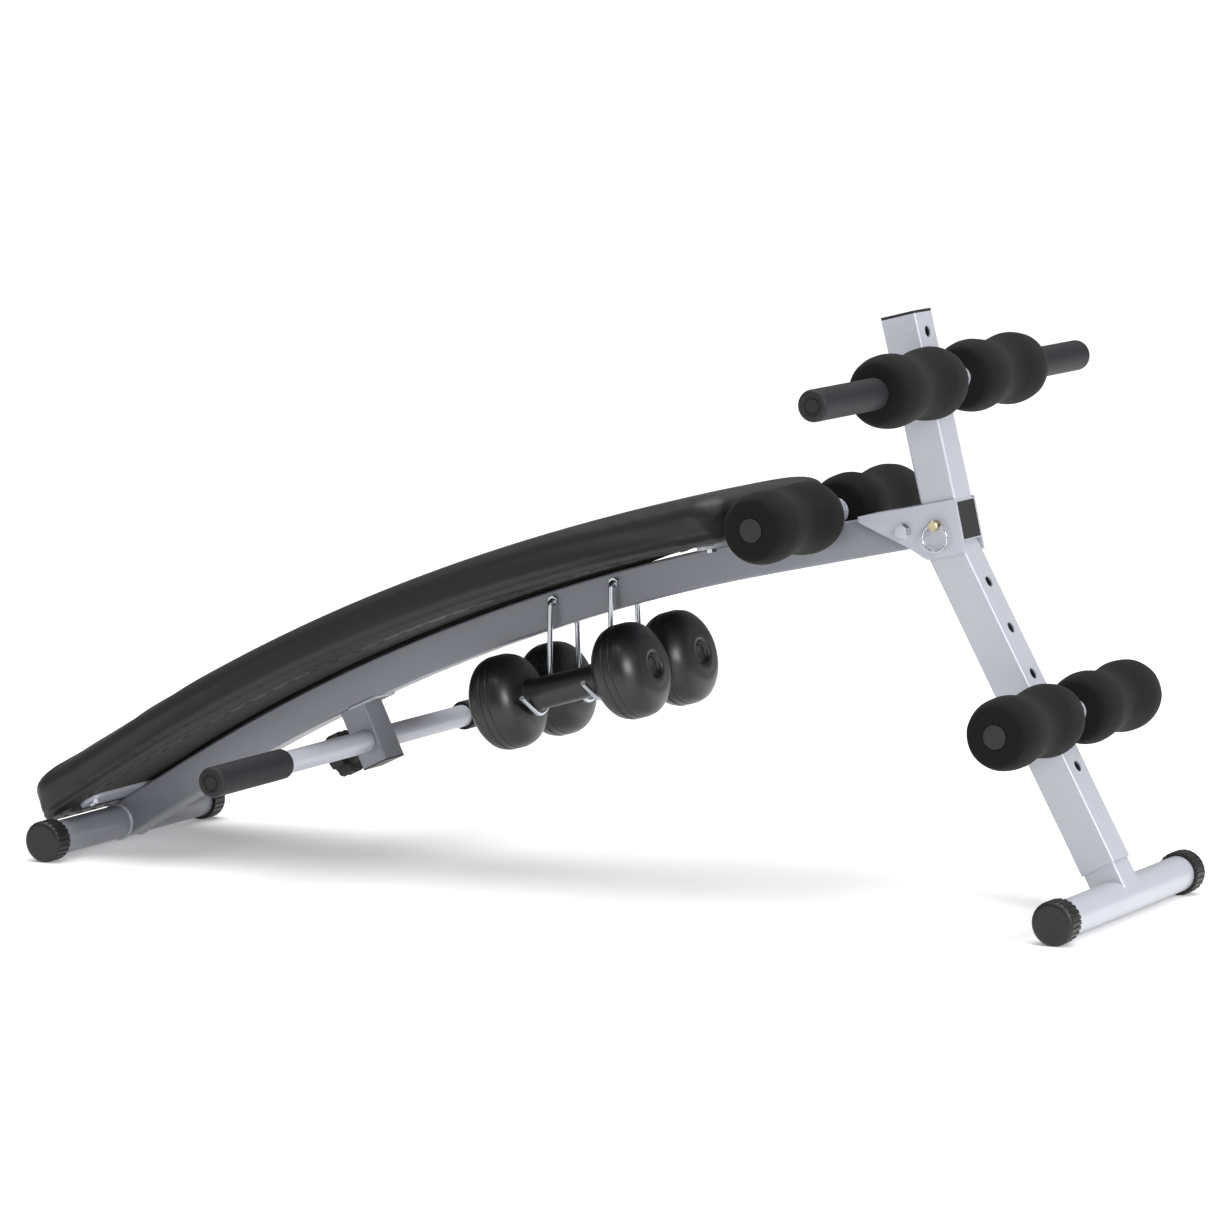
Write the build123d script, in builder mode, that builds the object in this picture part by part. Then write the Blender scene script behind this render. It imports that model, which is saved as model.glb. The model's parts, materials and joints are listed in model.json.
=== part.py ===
from build123d import *

import os
from math import atan2, cos, hypot, pi, radians, sin, tan

# Arched sit-up and weight bench. Millimetres, +Z up, +X towards the leg end, Y across.
# The origin is on the floor, under the middle of the bench's overall box.

# Main frame tube: a straight rear run, a long arch and a straight front run.
MAIN_TUBE = 40.0
TUBE_WALL = 1.5
TUBE_CORNER = 3.0
REAR_RUN = 127.0
REAR_SLOPE = 30.0
FRONT_SLOPE = 11.5
ARCH_RADIUS = 2448.0
FRONT_RUN = 161.0

# Floor feet: a round tube with a ribbed cap on each end.
FOOT_TUBE_RADIUS = 19.0
FOOT_LENGTH = 344.0
CAP_RADIUS = 23.2
CAP_DEPTH = 24.0
CAP_END_WALL = 4.0
CAP_RIBS = 24
CAP_GROOVE_RADIUS = 1.3
CAP_EDGE_RADIUS = 5.5

# Front support: leg, upright, pivot bracket and stub.
LEG_TUBE = 42.0
UPRIGHT_TUBE = 41.0
LEG_ROOT = 38.2
LEG_LEAN = 27.9
LEG_END_ABOVE_FOOT = 35.0
LEG_HOLE_RADIUS = 6.0
LEG_HOLE_START = 87.5
LEG_HOLE_PITCH = 53.3
LEG_HOLE_COUNT = 6
LOWER_ROLLER_HOLE = 2
INNER_LEG_TOP = 120.0
BUTTON_FLANGE = 2.0
UPRIGHT_LEAN = 13.0
UPRIGHT_LENGTH = 199.0
UPRIGHT_CAP_THICKNESS = 3.0
UPRIGHT_HOLE_DOWN = 21.0
HANDLE_HOLE_DOWN = 75.0
STUB_START = 30.0
STUB_END = 65.0
PLATE_THICKNESS = 3.0
PLATE_REAR = -50.0
PLATE_BOTTOM = -34.0
PLATE_CORNER = 3.0
WEB_FRONT = -18.0
TUBE_END_RADIUS = 26.0

# Pivot bolt and the lock pin with its ring.
BOLT_RADIUS = 4.0
BOLT_HEAD_FLATS = 13.0
BOLT_HEAD_HEIGHT = 5.3
NUT_HEIGHT = 6.5
WASHER_RADIUS = 8.0
WASHER_THICKNESS = 1.6
BUSH_RADIUS = 6.5
PLUG_DEPTH = 12.0
LOCK_PIN_STATION = 39.0
LOCK_PIN_RADIUS = 4.0
LOCK_PIN_HEAD_RADIUS = 5.5
LOCK_PIN_HEAD_LENGTH = 11.0
LOCK_PIN_TAIL = 9.0
RING_RADIUS = 14.0
RING_WIRE_RADIUS = 1.2
RING_EYE_RADIUS = 2.3

# Roller tubes, foam rollers and hand grips.
ROLLER_TUBE_RADIUS = 12.5
ROLLER_TUBE_HALF = 172.0
FOAM_END_GAP = 1.2
FOAM_LENGTH = 152.0
FOAM_BULGE_RADIUS = 38.5
FOAM_WAIST_RADIUS = 33.5
FOAM_FACE_RADIUS = 29.0
PLUG_HEAD = 3.0
PLUG_SPIGOT = 15.0
SADDLE_THICKNESS = 1.5
SADDLE_HALF = 17.0
SADDLE_HEIGHT = 24.0
SADDLE_WING = 6.0
HANDLE_HALF = 318.0
GRIP_WALL = 4.0
GRIP_LENGTH = 141.0
GRIP_END_WALL = 3.0
GRIP_EDGE_RADIUS = 4.0
KNEE_BEHIND_PIVOT = 97.0

# Push-up bar, its drop post and clamp knob.
BAR_STATION = 351.0
BAR_DROP = 60.0
BAR_RADIUS = 12.5
BAR_HALF = 333.0
POST_DEPTH = 34.0
POST_BELOW_BAR = 27.0
KNOB_RADIUS = 25.0
KNOB_LOBES = 8
KNOB_STAND_OFF = 2.5
KNOB_HUB = 9.0
KNOB_RIM = 17.0
KNOB_DOME = 5.0

# Pad: plywood board, padded cushion and two steel cross straps.
PAD_HALF_WIDTH = 140.0
PAD_OVERHANG = 26.0
PAD_FRONT_STATION = 933.0
PAD_THICKNESS = 51.0
PAD_EDGE_RADIUS = 14.0
PAD_CORNER_RADIUS = 32.0
BOARD_THICKNESS = 12.0
BOARD_INSET = 5.0
STRAP_THICKNESS = 4.0
STRAP_WIDTH = 30.0
STRAP_HALF_LENGTH = 116.0
STRAP_STATIONS = (39.0, 892.0)
STRAP_BOLT_OUT = 101.0
STRAP_BOLT_RADIUS = 3.0
STRAP_BOLT_FLATS = 10.0
STRAP_BOLT_HEAD = 4.0

# Dumbbells on four wire hooks.
DUMBBELL_X = 615.5
DUMBBELL_Z = 217.0
DUMBBELL_SIDE_GAP = 2.0
DUMBBELL_SLOPE = 15.3
DUMBBELL_HANDLE_RADIUS = 17.4
DUMBBELL_HEAD_SPACING = 158.0
DUMBBELL_HEAD_RADIUS = 52.0
DUMBBELL_HEAD_HALF = 31.0
DUMBBELL_SHELL = 3.0
DUMBBELL_RIM_HALF = 9.0
DUMBBELL_FACE_RADIUS = 26.0
DUMBBELL_RECESS_RADIUS = 14.0
DUMBBELL_RECESS_DEPTH = 5.0
HOOK_REAR_OFFSET = -38.0
HOOK_FRONT_OFFSET = 40.5
HOOK_WIRE_RADIUS = 2.9
HOOK_HOLE_UP = 9.0
HOOK_BEND_GAP = 0.5
HOOK_ARM_ANGLE = 33.0
HOOK_ARM_LENGTH = 33.0
HOOK_BEND_RADIUS = 4.0
HOOK_NUT_FLATS = 10.0
HOOK_NUT_HEIGHT = 4.0

# Clearances.
RUNNING_FIT = 0.05
SNUG_GAP = 0.05
MOVING_GAP = 0.3
FOAM_GAP = 0.3

half_tube = MAIN_TUBE / 2
half_leg = LEG_TUBE / 2
half_upright = UPRIGHT_TUBE / 2
arch_turn = radians(REAR_SLOPE - FRONT_SLOPE)
arch_start = REAR_RUN
arch_end = REAR_RUN + ARCH_RADIUS * arch_turn
pivot_station = arch_end + FRONT_RUN
pad_bottom = half_tube + STRAP_THICKNESS
pad_top = pad_bottom + PAD_THICKNESS
plate_inside = max(half_tube, half_leg, half_upright) + MOVING_GAP
half_stub = plate_inside - SNUG_GAP
plate_outside = plate_inside + PLATE_THICKNESS
foam_start = max(half_tube, half_leg, half_upright) + FOAM_END_GAP
handle_half = max(HANDLE_HALF, foam_start + FOAM_LENGTH + MOVING_GAP + GRIP_LENGTH)
knob_start = POST_DEPTH / 2 + NUT_HEIGHT + KNOB_STAND_OFF
dumbbell_y = DUMBBELL_HEAD_RADIUS + DUMBBELL_SIDE_GAP
hook_top_out = half_tube + HOOK_NUT_HEIGHT + HOOK_BEND_RADIUS + HOOK_BEND_GAP
ACROSS = (0, 1, 0)


def slope_at(station):
    """The frame tube's slope in radians at a distance along its centre line."""
    along_arch = min(max(station - arch_start, 0), arch_end - arch_start)
    return radians(REAR_SLOPE) - along_arch / ARCH_RADIUS


def from_rear_foot(station, rise):
    """Run and height from the rear foot's axis of a point along and above the frame tube."""
    start, turned = radians(REAR_SLOPE), slope_at(station)
    before, after = min(station, arch_start), max(station - arch_end, 0)
    run = before * cos(start) + ARCH_RADIUS * (sin(start) - sin(turned)) + after * cos(turned)
    height = before * sin(start) + ARCH_RADIUS * (cos(turned) - cos(start)) + after * sin(turned)
    return run - rise * sin(turned), height + rise * cos(turned)


# The front foot stands where the leaning leg reaches the floor.
root_run, root_height = from_rear_foot(pivot_station + LEG_ROOT, -half_tube)
foot_span = root_run + root_height * tan(radians(LEG_LEAN))

# The rear foot is set back so that the overall box is centred on the origin.
rear_angle = radians(REAR_SLOPE)
pad_rear_reach = (
    (PAD_OVERHANG - PAD_EDGE_RADIUS) * cos(rear_angle)
    + (pad_top - PAD_EDGE_RADIUS) * sin(rear_angle)
    + PAD_EDGE_RADIUS
)
rear_reach = max(pad_rear_reach, CAP_RADIUS)
rear_foot_x = (rear_reach - foot_span - CAP_RADIUS) / 2


def spot(station, rise=0.0, across=0.0):
    """A point at a distance along the frame tube's centre line and above it."""
    run, height = from_rear_foot(station, rise)
    return (rear_foot_x + run, across, CAP_RADIUS + height)


def side_plane(station, rise=0.0):
    """A plane seen from the near side: x runs along the tube there, y away from it."""
    turned = slope_at(station)
    return Plane(origin=spot(station, rise), x_dir=(cos(turned), 0, sin(turned)), z_dir=(0, -1, 0))


def edge_along(first, last, rise):
    """Draws the line that follows the frame tube between two stations at a height."""
    if first < arch_start:
        Line(flat(first, rise), flat(min(last, arch_start), rise))
    begin, finish = max(first, arch_start), min(last, arch_end)
    if finish > begin:
        ThreePointArc(flat(begin, rise), flat((begin + finish) / 2, rise), flat(finish, rise))
    if last > arch_end:
        Line(flat(max(first, arch_end), rise), flat(last, rise))


def flat(station, rise):
    """The same point in the side view, as a pair of X and Z."""
    x, _, z = spot(station, rise)
    return (x, z)


def band(first, last, low, high, half_width, mode=Mode.ADD):
    """A solid that follows the frame tube between two stations and two heights."""
    with BuildSketch(Plane.XZ) as outline:
        with BuildLine():
            edge_along(first, last, high)
            edge_along(first, last, low)
            Line(flat(first, low), flat(first, high))
            Line(flat(last, low), flat(last, high))
        make_face()
    extrude(outline.sketch, amount=half_width, both=True, mode=mode)


def drill(origin, direction, radius, length):
    """Cuts a round hole centred on a point."""
    with Locations(Plane(origin=origin, z_dir=direction)):
        Cylinder(radius, length, mode=Mode.SUBTRACT)


def square_tube(plane, outside, wall, length):
    """Adds a hollow square tube that starts on a plane."""
    inside = outside - 2 * wall
    with BuildSketch(plane) as section:
        RectangleRounded(outside, outside, TUBE_CORNER)
        RectangleRounded(inside, inside, TUBE_CORNER - wall, mode=Mode.SUBTRACT)
    extrude(section.sketch, amount=length)


def across_plane(centre):
    """A plane through a point that faces along Y."""
    return Plane(origin=centre, x_dir=(1, 0, 0), z_dir=ACROSS)


def outward_plane(centre, side):
    """A plane that holds a cross axis: x runs outwards on one side, y runs up."""
    return Plane(origin=centre, x_dir=(0, side, 0), z_dir=(side, 0, 0))


def keep(piece, name):
    """Labels a finished piece and writes it."""
    piece.part.label = name
    export_step(piece.part, f"parts/{name}.step")


def cross_tube(centre, radius, half_length):
    """A round steel tube lying across the bench."""
    with BuildPart() as tube:
        with BuildSketch(across_plane(centre)):
            Circle(radius)
            Circle(radius - TUBE_WALL, mode=Mode.SUBTRACT)
        extrude(amount=half_length, both=True)
    return tube


def foot_cap(centre, side):
    """A ribbed end cap: flat rib lands with a groove at each corner, and a rounded end."""
    inner_edge = FOOT_LENGTH / 2 - CAP_DEPTH
    plane = Plane(origin=(centre[0], side * inner_edge, centre[2]), x_dir=(1, 0, 0), z_dir=(0, side, 0))
    corner_radius = CAP_RADIUS / cos(pi / CAP_RIBS)
    with BuildPart() as cap:
        with BuildSketch(plane):
            RegularPolygon(CAP_RADIUS, CAP_RIBS, major_radius=False, rotation=180 / CAP_RIBS)
            with PolarLocations(corner_radius, CAP_RIBS, start_angle=180 / CAP_RIBS):
                Circle(CAP_GROOVE_RADIUS, mode=Mode.SUBTRACT)
        extrude(amount=CAP_DEPTH)
        with BuildSketch(outward_plane((centre[0], side * inner_edge, centre[2]), side)):
            with BuildLine():
                Line((0, 0), (0, corner_radius))
                Line((0, corner_radius), (CAP_DEPTH - CAP_EDGE_RADIUS, corner_radius))
                RadiusArc(
                    (CAP_DEPTH - CAP_EDGE_RADIUS, corner_radius),
                    (CAP_DEPTH, corner_radius - CAP_EDGE_RADIUS),
                    CAP_EDGE_RADIUS,
                )
                Line((CAP_DEPTH, corner_radius - CAP_EDGE_RADIUS), (CAP_DEPTH, 0))
                Line((CAP_DEPTH, 0), (0, 0))
            make_face()
        revolve(axis=Axis(centre, ACROSS), mode=Mode.INTERSECT)
        with BuildSketch(plane):
            Circle(FOOT_TUBE_RADIUS + SNUG_GAP)
        extrude(amount=CAP_DEPTH - CAP_END_WALL, mode=Mode.SUBTRACT)
    return cap


def foam_roller(centre, side):
    """A foam roller with two bulges, a waist and a bore that clears its tube."""
    bore = ROLLER_TUBE_RADIUS + FOAM_GAP
    shoulder = 0.3 * FOAM_FACE_RADIUS + 0.7 * FOAM_BULGE_RADIUS
    with BuildPart() as foam:
        with BuildSketch(outward_plane((centre[0], side * foam_start, centre[2]), side)):
            with BuildLine():
                Line((0, bore), (0, FOAM_FACE_RADIUS))
                Spline(
                    (0, FOAM_FACE_RADIUS),
                    (FOAM_LENGTH * 0.06, shoulder),
                    (FOAM_LENGTH * 0.2, FOAM_BULGE_RADIUS),
                    (FOAM_LENGTH * 0.5, FOAM_WAIST_RADIUS),
                    (FOAM_LENGTH * 0.8, FOAM_BULGE_RADIUS),
                    (FOAM_LENGTH * 0.94, shoulder),
                    (FOAM_LENGTH, FOAM_FACE_RADIUS),
                )
                Line((FOAM_LENGTH, FOAM_FACE_RADIUS), (FOAM_LENGTH, bore))
                Line((FOAM_LENGTH, bore), (0, bore))
            make_face()
        revolve(axis=Axis(centre, ACROSS))
    return foam


def tube_plugs(centre, half_length):
    """The two push-in end plugs of a roller tube."""
    with BuildPart() as plugs:
        for side in (-1, 1):
            plane = Plane(origin=(centre[0], side * half_length, centre[2]), z_dir=(0, side, 0))
            with BuildSketch(plane):
                Circle(ROLLER_TUBE_RADIUS)
            extrude(amount=PLUG_HEAD)
            with BuildSketch(plane):
                Circle(ROLLER_TUBE_RADIUS - TUBE_WALL - SNUG_GAP)
            extrude(amount=-PLUG_SPIGOT)
    return plugs


def hand_grip(centre, side, half_length, tube_radius):
    """A closed-end hand grip pushed over the end of a bar."""
    start = half_length - GRIP_LENGTH
    grip_radius = tube_radius + GRIP_WALL
    with BuildPart() as grip:
        with BuildSketch(outward_plane((centre[0], side * start, centre[2]), side)):
            with BuildLine():
                Polyline(
                    (0, tube_radius + SNUG_GAP),
                    (0, grip_radius),
                    (GRIP_LENGTH - GRIP_EDGE_RADIUS, grip_radius),
                )
                RadiusArc(
                    (GRIP_LENGTH - GRIP_EDGE_RADIUS, grip_radius),
                    (GRIP_LENGTH, grip_radius - GRIP_EDGE_RADIUS),
                    GRIP_EDGE_RADIUS,
                )
                Polyline(
                    (GRIP_LENGTH, grip_radius - GRIP_EDGE_RADIUS),
                    (GRIP_LENGTH, 0),
                    (GRIP_LENGTH - GRIP_END_WALL, 0),
                    (GRIP_LENGTH - GRIP_END_WALL, tube_radius + SNUG_GAP),
                    (0, tube_radius + SNUG_GAP),
                )
            make_face()
        revolve(axis=Axis(centre, ACROSS))
    return grip


def hex_bolt(origin, direction, radius, flats, head_height, length, nut_at):
    """A hexagon bolt whose head sits behind the origin, with a nut along its shank."""
    plane = Plane(origin=origin, z_dir=direction)
    with BuildPart() as bolt:
        with BuildSketch(plane):
            RegularPolygon(flats / 2, 6, major_radius=False)
        extrude(amount=-head_height)
        with BuildSketch(plane):
            Circle(radius)
        extrude(amount=length)
        if nut_at:
            with BuildSketch(plane.offset(nut_at)):
                RegularPolygon(flats / 2, 6, major_radius=False)
                Circle(radius + SNUG_GAP, mode=Mode.SUBTRACT)
            extrude(amount=NUT_HEIGHT)
    return bolt


os.makedirs("parts", exist_ok=True)

# ---------------------------------------------------------------- key places
rear_foot = (rear_foot_x, 0, CAP_RADIUS)
front_foot = (rear_foot_x + foot_span, 0, CAP_RADIUS)
pivot_plane = side_plane(pivot_station)
pivot_slope = slope_at(pivot_station)
plate_top = half_tube + MOVING_GAP + PLATE_THICKNESS


def from_pivot(along, rise, across=0.0):
    """A point given along and away from the frame tube, measured from the pivot bolt."""
    return spot(pivot_station + along, rise, across)


leg_angle = radians(LEG_LEAN)
leg_up = (-sin(leg_angle), 0, cos(leg_angle))
leg_front = (cos(leg_angle), 0, sin(leg_angle))


def on_leg(up, forward=0.0):
    """A point on the leg: a distance up its axis from the foot, and forward of it."""
    return tuple(front_foot[i] + up * leg_up[i] + forward * leg_front[i] for i in range(3))


upright_angle = radians(UPRIGHT_LEAN)
upright_up = (-sin(upright_angle), 0, cos(upright_angle))
upright_front = (cos(upright_angle), 0, sin(upright_angle))
upright_base = from_pivot(STUB_END - half_upright - 1, half_stub)


def on_upright(up, forward=0.0):
    """A point on the upright: a distance up its axis from its base, and forward of it."""
    return tuple(upright_base[i] + up * upright_up[i] + forward * upright_front[i] for i in range(3))


leg_stand_off = half_leg + SADDLE_THICKNESS + ROLLER_TUBE_RADIUS
upright_stand_off = half_upright + SADDLE_THICKNESS + ROLLER_TUBE_RADIUS
lower_roller_up = LEG_HOLE_START + LOWER_ROLLER_HOLE * LEG_HOLE_PITCH
lower_roller = on_leg(lower_roller_up, leg_stand_off)
handle_up = UPRIGHT_LENGTH - HANDLE_HOLE_DOWN
upper_handle = on_upright(handle_up, upright_stand_off)
knee_roller = from_pivot(-KNEE_BEHIND_PIVOT, half_tube + ROLLER_TUBE_RADIUS)
pushup_axis = spot(BAR_STATION, -BAR_DROP)

dumbbell_angle = radians(DUMBBELL_SLOPE)
dumbbell_dir = (cos(dumbbell_angle), 0, sin(dumbbell_angle))
hook_spots = [
    (rear_foot_x + DUMBBELL_X + step * dumbbell_dir[0], DUMBBELL_Z + step * dumbbell_dir[2])
    for step in (HOOK_REAR_OFFSET, HOOK_FRONT_OFFSET)
]


def tube_height_at(x):
    """Height of the arch's centre line above the floor at an X inside the arch."""
    centre_x = rear_foot_x + REAR_RUN * cos(rear_angle) + ARCH_RADIUS * sin(rear_angle)
    centre_z = CAP_RADIUS + REAR_RUN * sin(rear_angle) - ARCH_RADIUS * cos(rear_angle)
    return centre_z + (ARCH_RADIUS**2 - (x - centre_x) ** 2) ** 0.5


# ---------------------------------------------------------------- main frame
with BuildPart() as main_frame_tube:
    band(0, pivot_station + TUBE_END_RADIUS, -half_tube, half_tube, half_tube)
    with BuildSketch(Plane.XZ):
        with BuildLine():
            edge_along(0, pivot_station, half_tube + 1)
            edge_along(0, pivot_station, -half_tube - 1)
            Line(flat(0, -half_tube - 1), flat(0, half_tube + 1))
            Line(flat(pivot_station, -half_tube - 1), flat(pivot_station, half_tube + 1))
        make_face()
        with Locations(flat(pivot_station, 0)):
            Circle(TUBE_END_RADIUS)
    extrude(amount=half_tube, both=True, mode=Mode.INTERSECT)
    long_edges = [
        e
        for e in main_frame_tube.edges()
        if e.length > FRONT_RUN / 2 and abs(abs(e.center().Y) - half_tube) < 0.01
    ]
    fillet(long_edges, TUBE_CORNER)
    inner = half_tube - TUBE_WALL
    band(-1, pivot_station + TUBE_END_RADIUS + 1, -inner, inner, inner, Mode.SUBTRACT)
    drill(rear_foot, ACROSS, FOOT_TUBE_RADIUS, MAIN_TUBE + 2)
    drill(from_pivot(0, 0), ACROSS, BUSH_RADIUS + SNUG_GAP, MAIN_TUBE + 2)
    for x, _ in hook_spots:
        drill((x, 0, tube_height_at(x) + HOOK_HOLE_UP), ACROSS, HOOK_WIRE_RADIUS + SNUG_GAP, MAIN_TUBE + 2)
keep(main_frame_tube, "main_frame_tube")

rear_foot_tube = cross_tube(rear_foot, FOOT_TUBE_RADIUS, FOOT_LENGTH / 2 - CAP_END_WALL)
keep(rear_foot_tube, "rear_foot_tube")

for side, side_name in ((-1, "left"), (1, "right")):
    keep(foot_cap(rear_foot, side), f"rear_foot_cap_{side_name}")
    keep(foot_cap(front_foot, side), f"front_foot_cap_{side_name}")

# ---------------------------------------------------------------- drop post for the push-up bar
post_plane = side_plane(BAR_STATION, -BAR_DROP)
tangent = tuple(post_plane.x_dir)
away = tuple(post_plane.y_dir)


def from_bar(along, rise, across=0.0):
    """A point measured from the push-up bar's axis, along the tube and away from it."""
    return tuple(pushup_axis[i] + along * tangent[i] + rise * away[i] + (across if i == 1 else 0) for i in range(3))


post_section = Plane(origin=from_bar(0, -POST_BELOW_BAR), x_dir=tangent, z_dir=away)
post_height = BAR_DROP + POST_BELOW_BAR - half_tube / 2
with BuildPart() as drop_post:
    with BuildSketch(post_section):
        RectangleRounded(POST_DEPTH, MAIN_TUBE, TUBE_CORNER)
        RectangleRounded(
            POST_DEPTH - 2 * TUBE_WALL, MAIN_TUBE - 2 * TUBE_WALL, TUBE_CORNER - TUBE_WALL, mode=Mode.SUBTRACT
        )
    extrude(amount=post_height)
    band(0, pivot_station, -half_tube, half_tube, half_tube + 1, Mode.SUBTRACT)
    drill(pushup_axis, ACROSS, BAR_RADIUS + MOVING_GAP, MAIN_TUBE + 2)
    drill(from_bar(-POST_DEPTH / 2, 0), tangent, BOLT_RADIUS + MOVING_GAP, 4 * TUBE_WALL)
keep(drop_post, "drop_post")

with BuildPart() as drop_post_plug:
    with BuildSketch(post_section):
        RectangleRounded(POST_DEPTH, MAIN_TUBE, TUBE_CORNER)
    extrude(amount=-1.5)
    with BuildSketch(post_section):
        plug_cut = 2 * (TUBE_WALL + SNUG_GAP)
        RectangleRounded(POST_DEPTH - plug_cut, MAIN_TUBE - plug_cut, TUBE_CORNER - TUBE_WALL)
    extrude(amount=POST_BELOW_BAR - BAR_RADIUS - 4)
keep(drop_post_plug, "drop_post_plug")

knob_plane = Plane(origin=pushup_axis, x_dir=ACROSS, z_dir=tuple(-t for t in tangent))
with BuildPart() as clamp_nut:
    with BuildSketch(knob_plane.offset(POST_DEPTH / 2)):
        RegularPolygon(BOLT_HEAD_FLATS / 2, 6, major_radius=False)
        Circle(BOLT_RADIUS + RUNNING_FIT, mode=Mode.SUBTRACT)
    extrude(amount=NUT_HEIGHT)
keep(clamp_nut, "clamp_nut")

with BuildPart() as clamp_stud:
    with BuildSketch(knob_plane.offset(BAR_RADIUS + MOVING_GAP)):
        Circle(BOLT_RADIUS)
    extrude(amount=knob_start + KNOB_HUB + KNOB_RIM / 2 - BAR_RADIUS)
keep(clamp_stud, "clamp_stud")

knob_rim_start = knob_start + KNOB_HUB
with BuildPart() as clamp_knob:
    with BuildSketch(knob_plane.offset(knob_start)):
        Circle(KNOB_RADIUS * 0.42)
    with BuildSketch(knob_plane.offset(knob_rim_start)):
        Circle(KNOB_RADIUS * 0.6)
    loft()
    with BuildSketch(knob_plane.offset(knob_rim_start)):
        Circle(KNOB_RADIUS)
        with PolarLocations(KNOB_RADIUS * 1.12, KNOB_LOBES):
            Circle(KNOB_RADIUS * 0.26, mode=Mode.SUBTRACT)
    extrude(amount=KNOB_RIM)
    with BuildSketch(knob_plane.offset(knob_rim_start + KNOB_RIM)):
        Circle(KNOB_RADIUS * 0.78)
    with BuildSketch(knob_plane.offset(knob_rim_start + KNOB_RIM + KNOB_DOME)):
        Circle(KNOB_RADIUS * 0.45)
    loft()
    with BuildSketch(knob_plane.offset(knob_start - 1)):
        Circle(BOLT_RADIUS + SNUG_GAP)
    extrude(amount=KNOB_HUB + KNOB_RIM / 2 + 1 + MOVING_GAP, mode=Mode.SUBTRACT)
keep(clamp_knob, "clamp_knob")

keep(cross_tube(pushup_axis, BAR_RADIUS, BAR_HALF - GRIP_END_WALL), "pushup_bar")
for side, side_name in ((-1, "left"), (1, "right")):
    keep(hand_grip(pushup_axis, side, BAR_HALF, BAR_RADIUS), f"pushup_grip_{side_name}")

# ---------------------------------------------------------------- pad
board_front = PAD_FRONT_STATION - BOARD_INSET
board_rear = BOARD_INSET - PAD_OVERHANG
board_half = PAD_HALF_WIDTH - BOARD_INSET
board_top = pad_bottom + BOARD_THICKNESS
strap_bolts = [(station, side * STRAP_BOLT_OUT) for station in STRAP_STATIONS for side in (-1, 1)]


def away_from_tube(station):
    """The direction that points straight up from the frame tube at a station."""
    turned = slope_at(station)
    return (-sin(turned), 0, cos(turned))


with BuildPart() as pad_cushion:
    band(-PAD_OVERHANG, PAD_FRONT_STATION, pad_bottom, pad_top, PAD_HALF_WIDTH)
    fillet([e for e in pad_cushion.edges() if abs(e.length - PAD_THICKNESS) < 0.01], PAD_CORNER_RADIUS)
    fillet(pad_cushion.faces().filter_by(lambda f: f.normal_at().Z > 0.5).edges(), PAD_EDGE_RADIUS)
    band(
        board_rear - SNUG_GAP,
        board_front + SNUG_GAP,
        pad_bottom - 1,
        board_top + SNUG_GAP,
        board_half + SNUG_GAP,
        Mode.SUBTRACT,
    )
    for station, across in strap_bolts:
        drill(spot(station, board_top, across), away_from_tube(station), STRAP_BOLT_RADIUS + SNUG_GAP, 8)
keep(pad_cushion, "pad_cushion")

with BuildPart() as pad_board:
    band(board_rear, board_front, pad_bottom, board_top, board_half)
    for station, across in strap_bolts:
        hole_length = 3 * BOARD_THICKNESS
        drill(spot(station, board_top, across), away_from_tube(station), STRAP_BOLT_RADIUS + SNUG_GAP, hole_length)
keep(pad_board, "pad_board")

for station, place in zip(STRAP_STATIONS, ("rear", "front")):
    with BuildPart() as strap:
        with BuildSketch(Plane(origin=spot(station, half_tube), x_dir=ACROSS, z_dir=away_from_tube(station))):
            SlotOverall(2 * STRAP_HALF_LENGTH, STRAP_WIDTH)
            with Locations((-STRAP_BOLT_OUT, 0), (STRAP_BOLT_OUT, 0)):
                Circle(STRAP_BOLT_RADIUS + SNUG_GAP, mode=Mode.SUBTRACT)
        extrude(amount=STRAP_THICKNESS - 2 * SNUG_GAP)
    keep(strap, f"pad_strap_{place}")

with BuildPart() as strap_screws:
    for station, across in strap_bolts:
        seat = Plane(origin=spot(station, half_tube, across), z_dir=away_from_tube(station))
        with BuildSketch(seat):
            RegularPolygon(STRAP_BOLT_FLATS / 2, 6, major_radius=False)
        extrude(amount=-STRAP_BOLT_HEAD)
        with BuildSketch(seat):
            Circle(STRAP_BOLT_RADIUS)
        extrude(amount=STRAP_THICKNESS + BOARD_THICKNESS)
keep(strap_screws, "pad_strap_bolts")

# ---------------------------------------------------------------- knee roller
keep(cross_tube(knee_roller, ROLLER_TUBE_RADIUS, ROLLER_TUBE_HALF), "knee_roller_tube")
keep(tube_plugs(knee_roller, ROLLER_TUBE_HALF), "knee_roller_plugs")

# ---------------------------------------------------------------- pivot bolt, bush, washers and nut
washer_start = plate_outside + MOVING_GAP
bolt_seat = washer_start + WASHER_THICKNESS
pivot = from_pivot(0, 0)
with BuildPart() as pivot_bolt:
    with BuildSketch(Plane(origin=(pivot[0], -bolt_seat, pivot[2]), z_dir=ACROSS)):
        RegularPolygon(BOLT_HEAD_FLATS / 2, 6, major_radius=False)
    extrude(amount=-BOLT_HEAD_HEIGHT)
    with BuildSketch(Plane(origin=(pivot[0], -bolt_seat, pivot[2]), z_dir=ACROSS)):
        Circle(BOLT_RADIUS)
    extrude(amount=2 * bolt_seat + NUT_HEIGHT + 2)
keep(pivot_bolt, "pivot_bolt")

with BuildPart() as pivot_nut:
    with BuildSketch(Plane(origin=(pivot[0], bolt_seat, pivot[2]), z_dir=ACROSS)):
        RegularPolygon(BOLT_HEAD_FLATS / 2, 6, major_radius=False)
        Circle(BOLT_RADIUS + SNUG_GAP, mode=Mode.SUBTRACT)
    extrude(amount=NUT_HEIGHT)
keep(pivot_nut, "pivot_nut")

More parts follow.
